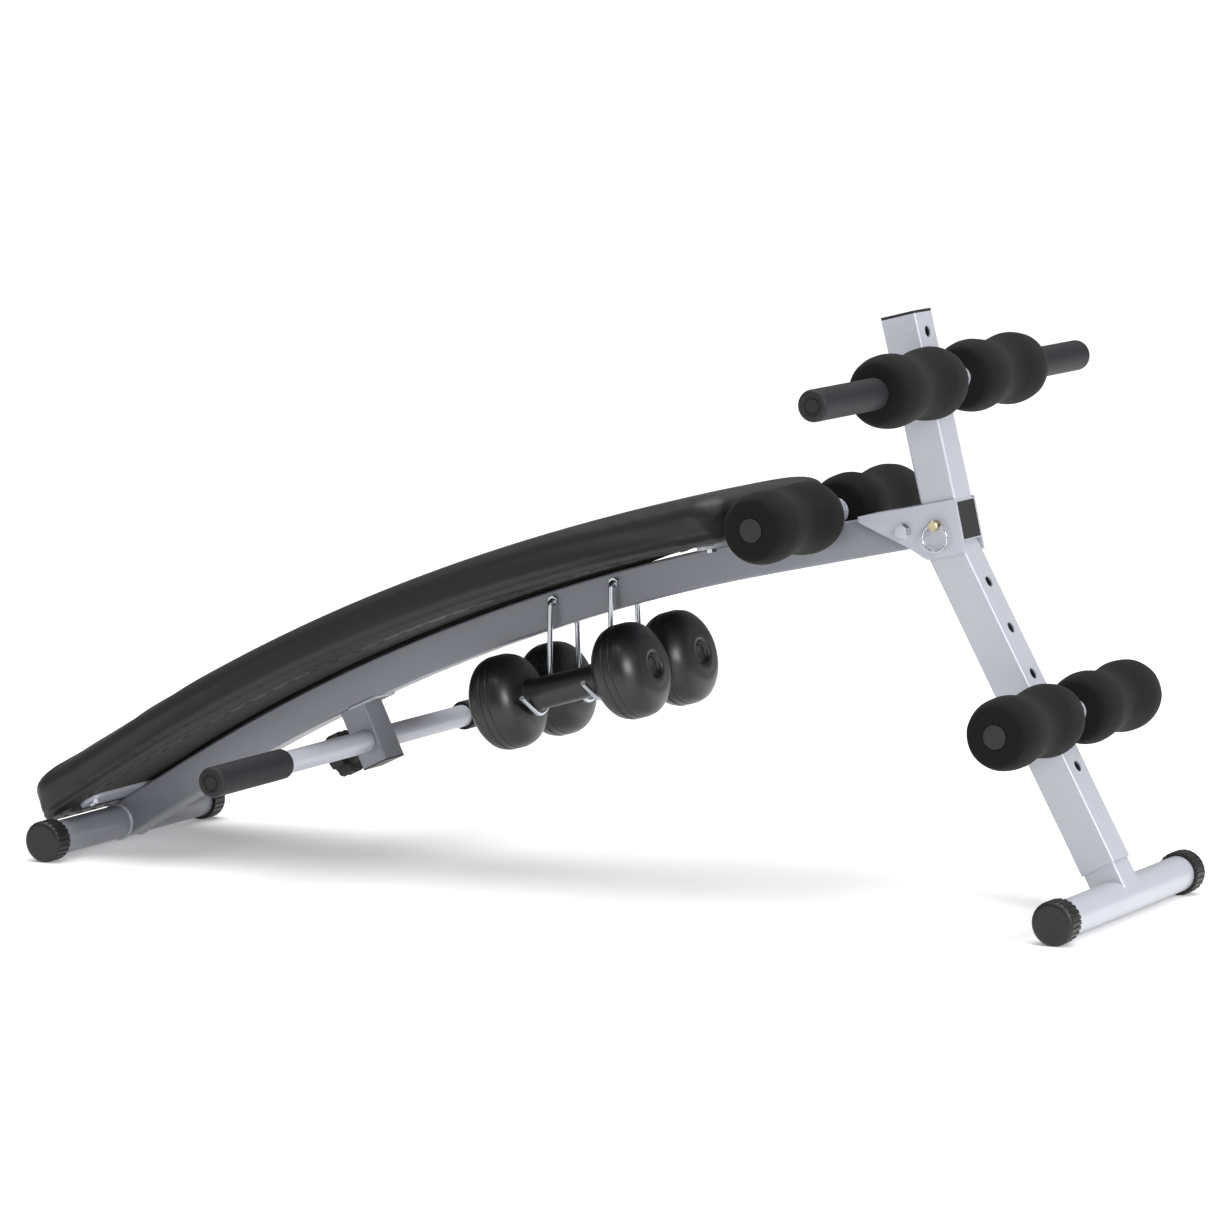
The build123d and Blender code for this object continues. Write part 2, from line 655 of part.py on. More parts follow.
with BuildPart() as pivot_washers:
    for side in (-1, 1):
        with BuildSketch(Plane(origin=(pivot[0], side * washer_start, pivot[2]), z_dir=(0, side, 0))):
            Circle(WASHER_RADIUS)
            Circle(BOLT_RADIUS + SNUG_GAP, mode=Mode.SUBTRACT)
        extrude(amount=WASHER_THICKNESS)
keep(pivot_washers, "pivot_washers")

with BuildPart() as pivot_bush:
    with BuildSketch(across_plane(pivot)):
        Circle(BUSH_RADIUS)
        Circle(BOLT_RADIUS + SNUG_GAP, mode=Mode.SUBTRACT)
    extrude(amount=half_tube, both=True)
keep(pivot_bush, "pivot_bush")

# ---------------------------------------------------------------- dumbbell hooks
handle_reach = (DUMBBELL_HANDLE_RADIUS + HOOK_WIRE_RADIUS) / cos(dumbbell_angle) + MOVING_GAP
arm_angle = radians(HOOK_ARM_ANGLE)
for (x, handle_z), place in zip(hook_spots, ("rear", "front")):
    hole_z = tube_height_at(x) + HOOK_HOLE_UP
    to_handle = (dumbbell_y - hook_top_out, handle_z - hole_z)
    distance = hypot(*to_handle)
    leg_direction = atan2(to_handle[1], to_handle[0]) - atan2(handle_reach, (distance**2 - handle_reach**2) ** 0.5)
    leg_length = (distance**2 - handle_reach**2) ** 0.5
    leg_end = (hook_top_out + leg_length * cos(leg_direction), hole_z + leg_length * sin(leg_direction))
    bend_start, bend_end = leg_direction - pi / 2, arm_angle - pi / 2
    bend_middle = (bend_start + bend_end) / 2
    bend = [
        (dumbbell_y + handle_reach * cos(turn), handle_z + handle_reach * sin(turn))
        for turn in (bend_start, bend_middle, bend_end)
    ]
    arm_tip = (bend[2][0] + HOOK_ARM_LENGTH * cos(arm_angle), bend[2][1] + HOOK_ARM_LENGTH * sin(arm_angle))
    for side, side_name in ((-1, "left"), (1, "right")):
        with BuildPart() as hook:
            with BuildLine(Plane(origin=(x, 0, 0), x_dir=(0, side, 0), z_dir=(side, 0, 0))) as route:
                FilletPolyline(
                    (half_tube - 3 * HOOK_WIRE_RADIUS, hole_z), (hook_top_out, hole_z), leg_end, radius=HOOK_BEND_RADIUS
                )
                ThreePointArc(bend[0], bend[1], bend[2])
                Line(bend[2], arm_tip)
            with BuildSketch(Plane(origin=route.line @ 0, z_dir=route.line % 0)):
                Circle(HOOK_WIRE_RADIUS)
            sweep(path=route.line)
        keep(hook, f"dumbbell_hook_{place}_{side_name}")

with BuildPart() as hook_nuts:
    for x, _ in hook_spots:
        for side in (-1, 1):
            seat = Plane(origin=(x, side * half_tube, tube_height_at(x) + HOOK_HOLE_UP), z_dir=(0, side, 0))
            with BuildSketch(seat):
                RegularPolygon(HOOK_NUT_FLATS / 2, 6, major_radius=False)
                Circle(HOOK_WIRE_RADIUS + SNUG_GAP, mode=Mode.SUBTRACT)
            extrude(amount=HOOK_NUT_HEIGHT)
keep(hook_nuts, "hook_nuts")

# ---------------------------------------------------------------- dumbbells
head_centre = DUMBBELL_HEAD_SPACING / 2
head_inside, head_outside = head_centre - DUMBBELL_HEAD_HALF, head_centre + DUMBBELL_HEAD_HALF
groove = (1.0, 1.2)


def head_outline(flip):
    """Half of a dumbbell's outline, from the middle of its handle to its end face."""
    rim_inner, rim_outer = head_centre - DUMBBELL_RIM_HALF, head_centre + DUMBBELL_RIM_HALF
    shoulder = DUMBBELL_HANDLE_RADIUS + 4
    Polyline(
        (0, DUMBBELL_HANDLE_RADIUS),
        (flip * (head_inside - 2), DUMBBELL_HANDLE_RADIUS),
        (flip * head_inside, shoulder),
    )
    Spline(
        (flip * head_inside, shoulder),
        (flip * (head_inside + 6), DUMBBELL_HEAD_RADIUS * 0.78),
        (flip * rim_inner, DUMBBELL_HEAD_RADIUS),
        tangents=((flip * 0.15, 1), (flip * 1, 0.12)),
    )
    rim = [(flip * rim_inner, DUMBBELL_HEAD_RADIUS)]
    for middle in (head_centre - DUMBBELL_RIM_HALF / 2, head_centre + DUMBBELL_RIM_HALF / 2):
        rim += [
            (flip * (middle - groove[0]), DUMBBELL_HEAD_RADIUS),
            (flip * middle, DUMBBELL_HEAD_RADIUS - groove[1]),
            (flip * (middle + groove[0]), DUMBBELL_HEAD_RADIUS),
        ]
    rim.append((flip * rim_outer, DUMBBELL_HEAD_RADIUS))
    Polyline(*rim)
    Spline(
        (flip * rim_outer, DUMBBELL_HEAD_RADIUS),
        (flip * (head_outside - 6), DUMBBELL_HEAD_RADIUS * 0.8),
        (flip * head_outside, DUMBBELL_FACE_RADIUS),
        tangents=((flip * 1, -0.12), (flip * 0.1, -1)),
    )
    Polyline(
        (flip * head_outside, DUMBBELL_FACE_RADIUS),
        (flip * head_outside, DUMBBELL_RECESS_RADIUS),
        (flip * (head_outside - DUMBBELL_RECESS_DEPTH), DUMBBELL_RECESS_RADIUS - 1),
        (flip * (head_outside - DUMBBELL_RECESS_DEPTH), 0),
    )


def fill_outline():
    """The cement inside a dumbbell: the handle's core and a plain drum in each head."""
    core = DUMBBELL_HANDLE_RADIUS - DUMBBELL_SHELL
    drum = DUMBBELL_HEAD_RADIUS - DUMBBELL_SHELL - groove[1]
    drum_end = head_outside - DUMBBELL_RECESS_DEPTH - DUMBBELL_SHELL
    right_half = [
        (head_inside + DUMBBELL_SHELL, core),
        (head_inside + 3 * DUMBBELL_SHELL, 0.7 * drum),
        (head_centre - DUMBBELL_RIM_HALF, drum),
        (head_centre + DUMBBELL_RIM_HALF, drum),
        (drum_end, 0.7 * drum),
        (drum_end, 0),
    ]
    left_half = [(-along, radius) for along, radius in reversed(right_half)]
    Polyline(*left_half, *right_half, close=True)


for side, side_name in ((-1, "left"), (1, "right")):
    centre = (rear_foot_x + DUMBBELL_X, side * dumbbell_y, DUMBBELL_Z)
    section = Plane(origin=centre, x_dir=dumbbell_dir, z_dir=(0, -1, 0))
    with BuildPart() as fill:
        with BuildSketch(section):
            with BuildLine():
                fill_outline()
            make_face()
        revolve(axis=Axis(centre, dumbbell_dir))
    with BuildPart() as shell:
        with BuildSketch(section):
            with BuildLine():
                head_outline(1)
                head_outline(-1)
                end = head_outside - DUMBBELL_RECESS_DEPTH
                Line((-end, 0), (end, 0))
            make_face()
        revolve(axis=Axis(centre, dumbbell_dir))
        add(fill.part, mode=Mode.SUBTRACT)
    keep(shell, f"dumbbell_{side_name}_shell")
    keep(fill, f"dumbbell_{side_name}_fill")

# ---------------------------------------------------------------- front support: bracket, stub, upright
pivot_tangent = tuple(pivot_plane.x_dir)
pivot_away = tuple(pivot_plane.y_dir)
with BuildPart() as pivot_bracket:
    for start, depth in ((plate_inside, PLATE_THICKNESS), (-plate_inside, -PLATE_THICKNESS)):
        with BuildSketch(pivot_plane.offset(start)):
            with BuildLine():
                Polyline(
                    (PLATE_REAR, plate_top),
                    (STUB_END, plate_top),
                    (STUB_END, PLATE_BOTTOM),
                    (half_leg - 1, PLATE_BOTTOM),
                    (0, PLATE_THICKNESS - half_tube),
                    (PLATE_REAR, half_tube - PLATE_THICKNESS),
                    close=True,
                )
            make_face()
            with Locations((0, 0), (LOCK_PIN_STATION, 0)):
                Circle(BOLT_RADIUS + RUNNING_FIT, mode=Mode.SUBTRACT)
        extrude(amount=depth)
    with BuildSketch(
        Plane(origin=from_pivot(0, half_tube + MOVING_GAP), x_dir=pivot_tangent, z_dir=pivot_away)
    ):
        with Locations(((PLATE_REAR + WEB_FRONT) / 2, 0)):
            Rectangle(WEB_FRONT - PLATE_REAR, 2 * plate_outside)
        with Locations((WEB_FRONT + plate_outside, 0)):
            Circle(plate_outside + 4, mode=Mode.SUBTRACT)
    extrude(amount=PLATE_THICKNESS)
keep(pivot_bracket, "pivot_bracket")

with BuildPart() as front_stub:
    square_tube(
        Plane(origin=from_pivot(STUB_START, 0), x_dir=ACROSS, z_dir=pivot_tangent),
        2 * half_stub,
        TUBE_WALL,
        STUB_END - STUB_START,
    )
    drill(from_pivot(LOCK_PIN_STATION, 0), ACROSS, LOCK_PIN_RADIUS + RUNNING_FIT, 2 * half_stub + 2)
keep(front_stub, "front_stub_tube")

with BuildPart() as end_plug:
    with BuildSketch(Plane(origin=from_pivot(STUB_END - PLUG_DEPTH, 0), x_dir=ACROSS, z_dir=pivot_tangent)):
        plug_side = 2 * (half_stub - TUBE_WALL - SNUG_GAP)
        RectangleRounded(plug_side, plug_side, TUBE_CORNER - TUBE_WALL)
    extrude(amount=PLUG_DEPTH + 0.5)
keep(end_plug, "frame_end_plug")

root_overlap = 12.0
with BuildPart() as upright_tube:
    square_tube(
        Plane(origin=on_upright(-root_overlap), x_dir=ACROSS, z_dir=upright_up),
        UPRIGHT_TUBE,
        TUBE_WALL,
        UPRIGHT_LENGTH + root_overlap,
    )
    with BuildSketch(pivot_plane):
        with Locations((STUB_START, half_stub - MAIN_TUBE / 2)):
            Rectangle(4 * MAIN_TUBE, MAIN_TUBE)
    extrude(amount=MAIN_TUBE, both=True, mode=Mode.SUBTRACT)
    drill(on_upright(UPRIGHT_LENGTH - UPRIGHT_HOLE_DOWN), upright_front, LEG_HOLE_RADIUS, UPRIGHT_TUBE + 2)
    drill(on_upright(handle_up), upright_front, BOLT_RADIUS + SNUG_GAP, UPRIGHT_TUBE + 2)
keep(upright_tube, "upright_tube")

with BuildPart() as upright_cap:
    cap_plane = Plane(origin=on_upright(UPRIGHT_LENGTH), x_dir=ACROSS, z_dir=upright_up)
    with BuildSketch(cap_plane):
        RectangleRounded(UPRIGHT_TUBE, UPRIGHT_TUBE, TUBE_CORNER)
    extrude(amount=UPRIGHT_CAP_THICKNESS)
    with BuildSketch(cap_plane):
        plug_side = UPRIGHT_TUBE - 2 * (TUBE_WALL + SNUG_GAP)
        RectangleRounded(plug_side, plug_side, TUBE_CORNER - TUBE_WALL)
    extrude(amount=-PLUG_DEPTH)
keep(upright_cap, "upright_cap")

# ---------------------------------------------------------------- front support: leg and foot
with BuildPart() as leg_tube:
    square_tube(
        Plane(origin=on_leg(LEG_END_ABOVE_FOOT), x_dir=ACROSS, z_dir=leg_up), LEG_TUBE, TUBE_WALL, foot_span / 2
    )
    with BuildSketch(pivot_plane):
        with Locations((0, foot_span / 2 - half_stub)):
            Rectangle(foot_span, foot_span)
    extrude(amount=MAIN_TUBE, both=True, mode=Mode.SUBTRACT)
    for index in range(LEG_HOLE_COUNT):
        hole_up = LEG_HOLE_START + index * LEG_HOLE_PITCH
        drill(on_leg(hole_up), leg_front, LEG_HOLE_RADIUS, LEG_TUBE + 2)
keep(leg_tube, "leg_tube")

inner_leg = LEG_TUBE - 2 * (TUBE_WALL + MOVING_GAP)
with BuildPart() as inner_leg_tube:
    square_tube(Plane(origin=on_leg(0), x_dir=ACROSS, z_dir=leg_up), inner_leg, TUBE_WALL, INNER_LEG_TOP)
    drill(front_foot, ACROSS, FOOT_TUBE_RADIUS, LEG_TUBE)
    drill(on_leg(LEG_HOLE_START, half_leg), leg_front, LEG_HOLE_RADIUS, LEG_TUBE / 2)
keep(inner_leg_tube, "inner_leg_tube")
keep(cross_tube(front_foot, FOOT_TUBE_RADIUS, FOOT_LENGTH / 2 - CAP_END_WALL), "front_foot_tube")

inner_wall = inner_leg / 2 - TUBE_WALL
with BuildPart() as foot_button:
    button_seat = Plane(origin=on_leg(LEG_HOLE_START, inner_wall - MOVING_GAP), z_dir=leg_front)
    with BuildSketch(button_seat):
        Circle(LEG_HOLE_RADIUS - MOVING_GAP)
    extrude(amount=half_leg + MOVING_GAP - inner_wall)
    with BuildSketch(button_seat):
        Circle(LEG_HOLE_RADIUS + BUTTON_FLANGE)
    extrude(amount=-BUTTON_FLANGE)
keep(foot_button, "foot_button")

# ---------------------------------------------------------------- front support: roller tubes
for name, centre, forward, half_length in (
    ("upper_handle_tube", upper_handle, upright_front, handle_half - GRIP_END_WALL),
    ("lower_roller_tube", lower_roller, leg_front, ROLLER_TUBE_HALF),
):
    with BuildPart() as tube:
        add(cross_tube(centre, ROLLER_TUBE_RADIUS, half_length).part)
        drill(centre, forward, BOLT_RADIUS + SNUG_GAP, 4 * ROLLER_TUBE_RADIUS)
    keep(tube, name)
keep(tube_plugs(lower_roller, ROLLER_TUBE_HALF), "lower_roller_plugs")

for name, place, forward, up, half in (
    ("upper", on_upright, upright_front, handle_up, half_upright),
    ("lower", on_leg, leg_front, lower_roller_up, half_leg),
):
    stand_off = half + SADDLE_THICKNESS + ROLLER_TUBE_RADIUS
    with BuildPart() as saddle:
        with BuildSketch(Plane(origin=place(up, half), x_dir=ACROSS, z_dir=forward)):
            Rectangle(2 * SADDLE_HALF, SADDLE_HEIGHT)
            Circle(BOLT_RADIUS + SNUG_GAP, mode=Mode.SUBTRACT)
        extrude(amount=SADDLE_THICKNESS + SADDLE_WING)
        drill(place(up, stand_off), ACROSS, ROLLER_TUBE_RADIUS, 4 * SADDLE_HALF)
    keep(saddle, f"{name}_tube_saddle")
    through = 2 * (ROLLER_TUBE_RADIUS + half) + SADDLE_THICKNESS
    bolt = hex_bolt(
        place(up, stand_off + ROLLER_TUBE_RADIUS),
        tuple(-f for f in forward),
        BOLT_RADIUS,
        BOLT_HEAD_FLATS,
        BOLT_HEAD_HEIGHT,
        through + NUT_HEIGHT + 3,
        through,
    )
    keep(bolt, f"{name}_tube_bolt")

for side, side_name in ((-1, "left"), (1, "right")):
    keep(hand_grip(upper_handle, side, handle_half, ROLLER_TUBE_RADIUS), f"handle_grip_{side_name}")
    for centre, place in ((upper_handle, "upper"), (knee_roller, "knee"), (lower_roller, "lower")):
        keep(foam_roller(centre, side), f"{place}_foam_{side_name}")

# ---------------------------------------------------------------- lock pin and pull ring
pin_axis = from_pivot(LOCK_PIN_STATION, 0)
pin_head_start = plate_outside + MOVING_GAP
eye = (pin_axis[0], -(pin_head_start + LOCK_PIN_HEAD_LENGTH / 2), pin_axis[2])
ring_hang = RING_RADIUS - (RING_EYE_RADIUS - RING_WIRE_RADIUS) / 2
with BuildPart() as lock_pin:
    with BuildSketch(Plane(origin=(pin_axis[0], -pin_head_start, pin_axis[2]), z_dir=ACROSS)):
        Circle(LOCK_PIN_RADIUS)
    extrude(amount=2 * pin_head_start + LOCK_PIN_TAIL)
    with BuildSketch(Plane(origin=(pin_axis[0], -pin_head_start, pin_axis[2]), z_dir=(0, -1, 0))):
        Circle(LOCK_PIN_HEAD_RADIUS)
    extrude(amount=LOCK_PIN_HEAD_LENGTH)
    chamfer(lock_pin.faces().sort_by(Axis.Y)[0].edges(), 1)
    chamfer(lock_pin.faces().sort_by(Axis.Y)[-1].edges(), 1)
    drill(eye, (1, 0, 0), RING_EYE_RADIUS, 4 * LOCK_PIN_HEAD_RADIUS)
keep(lock_pin, "lock_pin")

with BuildPart() as pull_ring:
    with Locations(Plane(origin=(eye[0], eye[1], eye[2] - ring_hang), z_dir=ACROSS)):
        Torus(RING_RADIUS, RING_WIRE_RADIUS)
keep(pull_ring, "pull_ring")
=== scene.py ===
"""Looks for an arched weight bench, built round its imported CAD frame. Metres, +Z up."""

import json
import logging
import math
from dataclasses import dataclass
from enum import Enum

import bpy
import numpy as np
from mathutils import Matrix, Vector


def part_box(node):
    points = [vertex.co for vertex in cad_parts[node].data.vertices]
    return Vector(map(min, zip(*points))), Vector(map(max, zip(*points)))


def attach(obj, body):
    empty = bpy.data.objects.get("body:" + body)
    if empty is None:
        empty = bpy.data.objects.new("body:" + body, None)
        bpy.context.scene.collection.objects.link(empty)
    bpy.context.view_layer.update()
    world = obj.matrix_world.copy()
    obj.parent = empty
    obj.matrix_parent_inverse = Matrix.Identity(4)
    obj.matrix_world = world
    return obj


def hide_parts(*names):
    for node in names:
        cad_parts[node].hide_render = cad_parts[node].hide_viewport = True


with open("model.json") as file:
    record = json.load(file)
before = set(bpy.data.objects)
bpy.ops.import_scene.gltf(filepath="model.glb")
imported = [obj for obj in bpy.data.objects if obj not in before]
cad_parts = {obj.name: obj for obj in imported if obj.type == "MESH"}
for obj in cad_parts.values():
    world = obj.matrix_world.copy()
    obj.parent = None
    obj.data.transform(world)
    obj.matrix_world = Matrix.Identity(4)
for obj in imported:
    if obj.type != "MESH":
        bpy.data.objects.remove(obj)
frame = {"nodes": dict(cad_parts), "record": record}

LOG = logging.getLogger("bench")
MM = 0.001
Array = np.ndarray
Node = bpy.types.Node
Object = bpy.types.Object
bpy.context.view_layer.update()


# ------------------------------------------------------------------ finishes
def linear(hex_colour: str) -> tuple[float, float, float, float]:
    """Turns an sRGB hex colour into linear light.

    Args:
        hex_colour: Six hex digits after a hash sign.

    Returns:
        Red, green, blue and an alpha of one.
    """
    channels = [int(hex_colour[i : i + 2], 16) / 255 for i in (1, 3, 5)]
    light = [c / 12.92 if c <= 0.04045 else ((c + 0.055) / 1.055) ** 2.4 for c in channels]
    return (light[0], light[1], light[2], 1.0)


def add_node(
    tree: bpy.types.NodeTree, kind: str, settings: dict | None = None, links: dict | None = None
) -> Node:
    """Adds a node with its settings and its incoming links.

    Args:
        tree: The node tree it joins.
        kind: Blender's name for the node type.
        settings: Properties by name, and socket values by socket name or number.
        links: Output sockets by the name or number of the input they feed.

    Returns:
        The new node.
    """
    node = tree.nodes.new(kind)
    for key, value in (settings or {}).items():
        if isinstance(key, str) and hasattr(node, key):
            setattr(node, key, value)
        else:
            node.inputs[key].default_value = value
    for key, source in (links or {}).items():
        tree.links.new(source, node.inputs[key])
    return node


class Grain(Enum):
    """How a finish breaks up at close range."""

    ORANGE_PEEL = "orange peel"
    PEBBLED = "pebbled"
    CELLULAR = "cellular"
    CAST = "cast"
    WOODEN = "wooden"


@dataclass(frozen=True)
class Finish:
    """One real material, with its colours, gloss and grain. Sizes are in millimetres."""

    name: str
    colour: str
    shade: str
    roughness: float
    grain: Grain
    grain_mm: float
    depth_mm: float
    metallic: float = 0.0
    gloss_spread: float = 0.06
    patch_mm: float = 60.0
    coat: float = 0.0
    coat_roughness: float = 0.2
    sheen: float = 0.0
    specular: float = 0.5
    ior: float = 1.5

    def build(self) -> bpy.types.Material:
        """Makes the material, or gives back the one already made.

        Returns:
            The node material.
        """
        known = bpy.data.materials.get(self.name)
        if known:
            return known
        material = bpy.data.materials.new(self.name)
        material.use_nodes = True
        tree = material.node_tree
        tree.nodes.clear()
        place = add_node(tree, "ShaderNodeTexCoord").outputs["Object"]
        patches = add_node(
            tree, "ShaderNodeTexNoise", {"Scale": 1 / (self.patch_mm * MM), "Detail": 3.0}, {"Vector": place}
        )
        height = self._height(tree, place)
        colour = add_node(
            tree,
            "ShaderNodeMix",
            {"data_type": "RGBA", 6: linear(self.colour), 7: linear(self.shade)},
            {0: patches.outputs[0]},
        )
        gloss = add_node(
            tree,
            "ShaderNodeMapRange",
            {
                "To Min": max(0.02, self.roughness - self.gloss_spread),
                "To Max": self.roughness + self.gloss_spread,
            },
            {"Value": height},
        )
        bump = add_node(
            tree, "ShaderNodeBump", {"Strength": 1.0, "Distance": self.depth_mm * MM}, {"Height": height}
        )
        shader = add_node(
            tree,
            "ShaderNodeBsdfPrincipled",
            {
                "Metallic": self.metallic,
                "Coat Weight": self.coat,
                "Coat Roughness": self.coat_roughness,
                "Sheen Weight": self.sheen,
                "Sheen Roughness": 0.6,
                "Specular IOR Level": self.specular,
                "IOR": self.ior,
            },
            {"Base Color": colour.outputs[2], "Roughness": gloss.outputs[0], "Normal": bump.outputs[0]},
        )
        add_node(tree, "ShaderNodeOutputMaterial", links={"Surface": shader.outputs[0]})
        return material

    def _height(self, tree: bpy.types.NodeTree, place: bpy.types.NodeSocket) -> bpy.types.NodeSocket:
        """The grain as a height from 0 to 1.

        Args:
            tree: The material's nodes.
            place: Object coordinates.

        Returns:
            The socket that carries the height.
        """
        scale = 1 / (self.grain_mm * MM)
        noise = "ShaderNodeTexNoise"
        if self.grain is Grain.WOODEN:
            drawn = add_node(tree, "ShaderNodeMapping", {"Scale": (0.06, 1.0, 1.0)}, {"Vector": place})
            rings = {"Scale": scale, "Detail": 5.0, "Distortion": 0.6}
            return add_node(tree, noise, rings, {"Vector": drawn.outputs[0]}).outputs[0]
        if self.grain is Grain.ORANGE_PEEL:
            return add_node(tree, noise, {"Scale": scale, "Detail": 1.5}, {"Vector": place}).outputs[0]
        if self.grain is Grain.CAST:
            grit = {"Scale": scale, "Detail": 6.0, "Roughness": 0.62}
            return add_node(tree, noise, grit, {"Vector": place}).outputs[0]
        feature = "DISTANCE_TO_EDGE" if self.grain is Grain.PEBBLED else "F1"
        wander = add_node(tree, noise, {"Scale": scale * 0.7, "Detail": 2.0}, {"Vector": place})
        shifted = add_node(
            tree,
            "ShaderNodeVectorMath",
            {"operation": "MULTIPLY_ADD", 1: (0.6 * self.grain_mm * MM,) * 3},
            {0: wander.outputs[1], 2: place},
        )
        cells = add_node(
            tree, "ShaderNodeTexVoronoi", {"feature": feature, "Scale": scale}, {"Vector": shifted.outputs[0]}
        )
        widest = 0.35 if self.grain is Grain.PEBBLED else 0.9
        spread = add_node(tree, "ShaderNodeMapRange", {"From Max": widest}, {"Value": cells.outputs[0]})
        return spread.outputs[0]


# Silver epoxy powder, sprayed and baked on steel: pale and cool, satin, with a faint orange peel.
POWDER_COAT = Finish(
    "silver_powder_coated_steel", "#B4B6BF", "#ADAFB8", 0.36,
    Grain.ORANGE_PEEL, 2.2, 0.035, metallic=0.12, coat=0.25,
)
# The same powder, painted a tone darker where the photo shows the frame in the pad's shade.
PAINTED_SHADE_COAT = Finish(
    "silver_powder_with_painted_shade", "#85878F", "#7E8088", 0.38,
    Grain.ORANGE_PEEL, 2.2, 0.035, metallic=0.12, coat=0.2,
)
# The same powder over a weld bead: thicker there, so smoother and glossier.
WELD_COAT = Finish(
    "powder_coated_weld_bead", "#AFB1BA", "#A2A4AD", 0.26,
    Grain.ORANGE_PEEL, 3.0, 0.05, metallic=0.12, coat=0.4,
)
# Polyurethane leathercloth, embossed with a fine pebble: black with a soft blue-grey shine.
LEATHERCLOTH = Finish(
    "black_embossed_leathercloth", "#07080B", "#0A0B10", 0.5,
    Grain.PEBBLED, 1.4, 0.05, coat=0.08, coat_roughness=0.35,
)
# Closed-cell nitrile foam with its skin left on: dead matte, with pinhole cells.
NITRILE_FOAM = Finish(
    "black_nitrile_foam", "#070708", "#0B0B0C", 0.9,
    Grain.CELLULAR, 1.3, 0.1, sheen=0.03, specular=0.2,
)
# Dipped vinyl grip: softer looking than the mouldings, charcoal black.
GRIP_RUBBER = Finish("charcoal_dipped_grip", "#141518", "#18191D", 0.62, Grain.CAST, 0.9, 0.03, specular=0.4)
# Injection-moulded polyethylene: black, low gloss, spark-eroded mould texture.
MOULDED_PLASTIC = Finish("black_moulded_polyethylene", "#0E0E10", "#131315", 0.46, Grain.CAST, 0.8, 0.025)
# Blow-moulded polyethylene shell: black and satin, with a slow waviness from the mould.
BLOWN_PLASTIC = Finish(
    "black_blow_moulded_shell", "#0E0F11", "#131416", 0.4,
    Grain.CAST, 5.0, 0.12, coat=0.15,
)
# Bright zinc plate on steel: a clear, slightly blue metal with a soft mirror.
BRIGHT_ZINC = Finish(
    "bright_zinc_plate", "#C9CCD1", "#B3B7BD", 0.24,
    Grain.CAST, 1.2, 0.012, metallic=1.0, patch_mm=9.0,
)
# Yellow passivated zinc: straw-coloured with faint iridescent patches.
YELLOW_ZINC = Finish(
    "yellow_passivated_zinc", "#C9BE8E", "#B9AD92", 0.28,
    Grain.CAST, 1.2, 0.012, metallic=1.0, patch_mm=5.0,
)
# Black-stained birch plywood: dull, with the grain still showing along the bench.
STAINED_PLYWOOD = Finish("black_stained_plywood", "#1C1A18", "#2A2622", 0.7, Grain.WOODEN, 3.0, 0.12)
# Turned nylon, natural: milky white.
NYLON = Finish("turned_natural_nylon", "#DCDBD2", "#CFCEC5", 0.45, Grain.CAST, 1.0, 0.02)
# Set cement: pale grey and gritty.
CEMENT = Finish("set_cement", "#8E8D88", "#777671", 0.9, Grain.CAST, 2.0, 0.3)

SLOT_FINISH = {
    "grey_powder_coat": POWDER_COAT,
    "black_plastic": MOULDED_PLASTIC,
    "black_vinyl": LEATHERCLOTH,
    "plywood": STAINED_PLYWOOD,
    "bright_zinc": BRIGHT_ZINC,
    "yellow_zinc": YELLOW_ZINC,
    "nylon": NYLON,
    "black_foam": NITRILE_FOAM,
    "grip_rubber": GRIP_RUBBER,
    "dumbbell_plastic": BLOWN_PLASTIC,
    "cement": CEMENT,
}


SHADED_NODES = ("main_frame_tube", "rear_foot_tube", "drop_post")


def dress_cad_nodes() -> None:
    """Gives every CAD node the finish of its material slot, and the shaded ones the coat with the pad's shade
    painted in.
    """
    for part in frame["record"]["subparts"]:
        piece = frame["nodes"][part["node"]]
        piece.data.materials.clear()
        # The frame tube, rear foot and drop post get the same powder a tone darker: painted shade from the
        # pad above them.
        finish = PAINTED_SHADE_COAT if part["node"] in SHADED_NODES else SLOT_FINISH[part["material_slot"]]
        piece.data.materials.append(finish.build())


# ------------------------------------------------------------------ mesh helpers
def ring_faces(rings: int, around: int, joined: bool) -> Array:
    """Quads between neighbouring rings of points.

    Args:
        rings: How many rings.
        around: Points in each ring, which closes on itself.
        joined: Whether the last ring joins the first.

    Returns:
        Vertex numbers, four to a row.
    """
    row = np.arange(rings if joined else rings - 1)[:, None]
    column = np.arange(around)[None, :]
    after_row = (row + 1) % rings
    after_column = (column + 1) % around
    corners = [row * around + column, after_row * around + column]
    corners += [after_row * around + after_column, row * around + after_column]
    return np.stack([np.broadcast_to(c, (len(row), around)) for c in corners], -1).reshape(-1, 4)


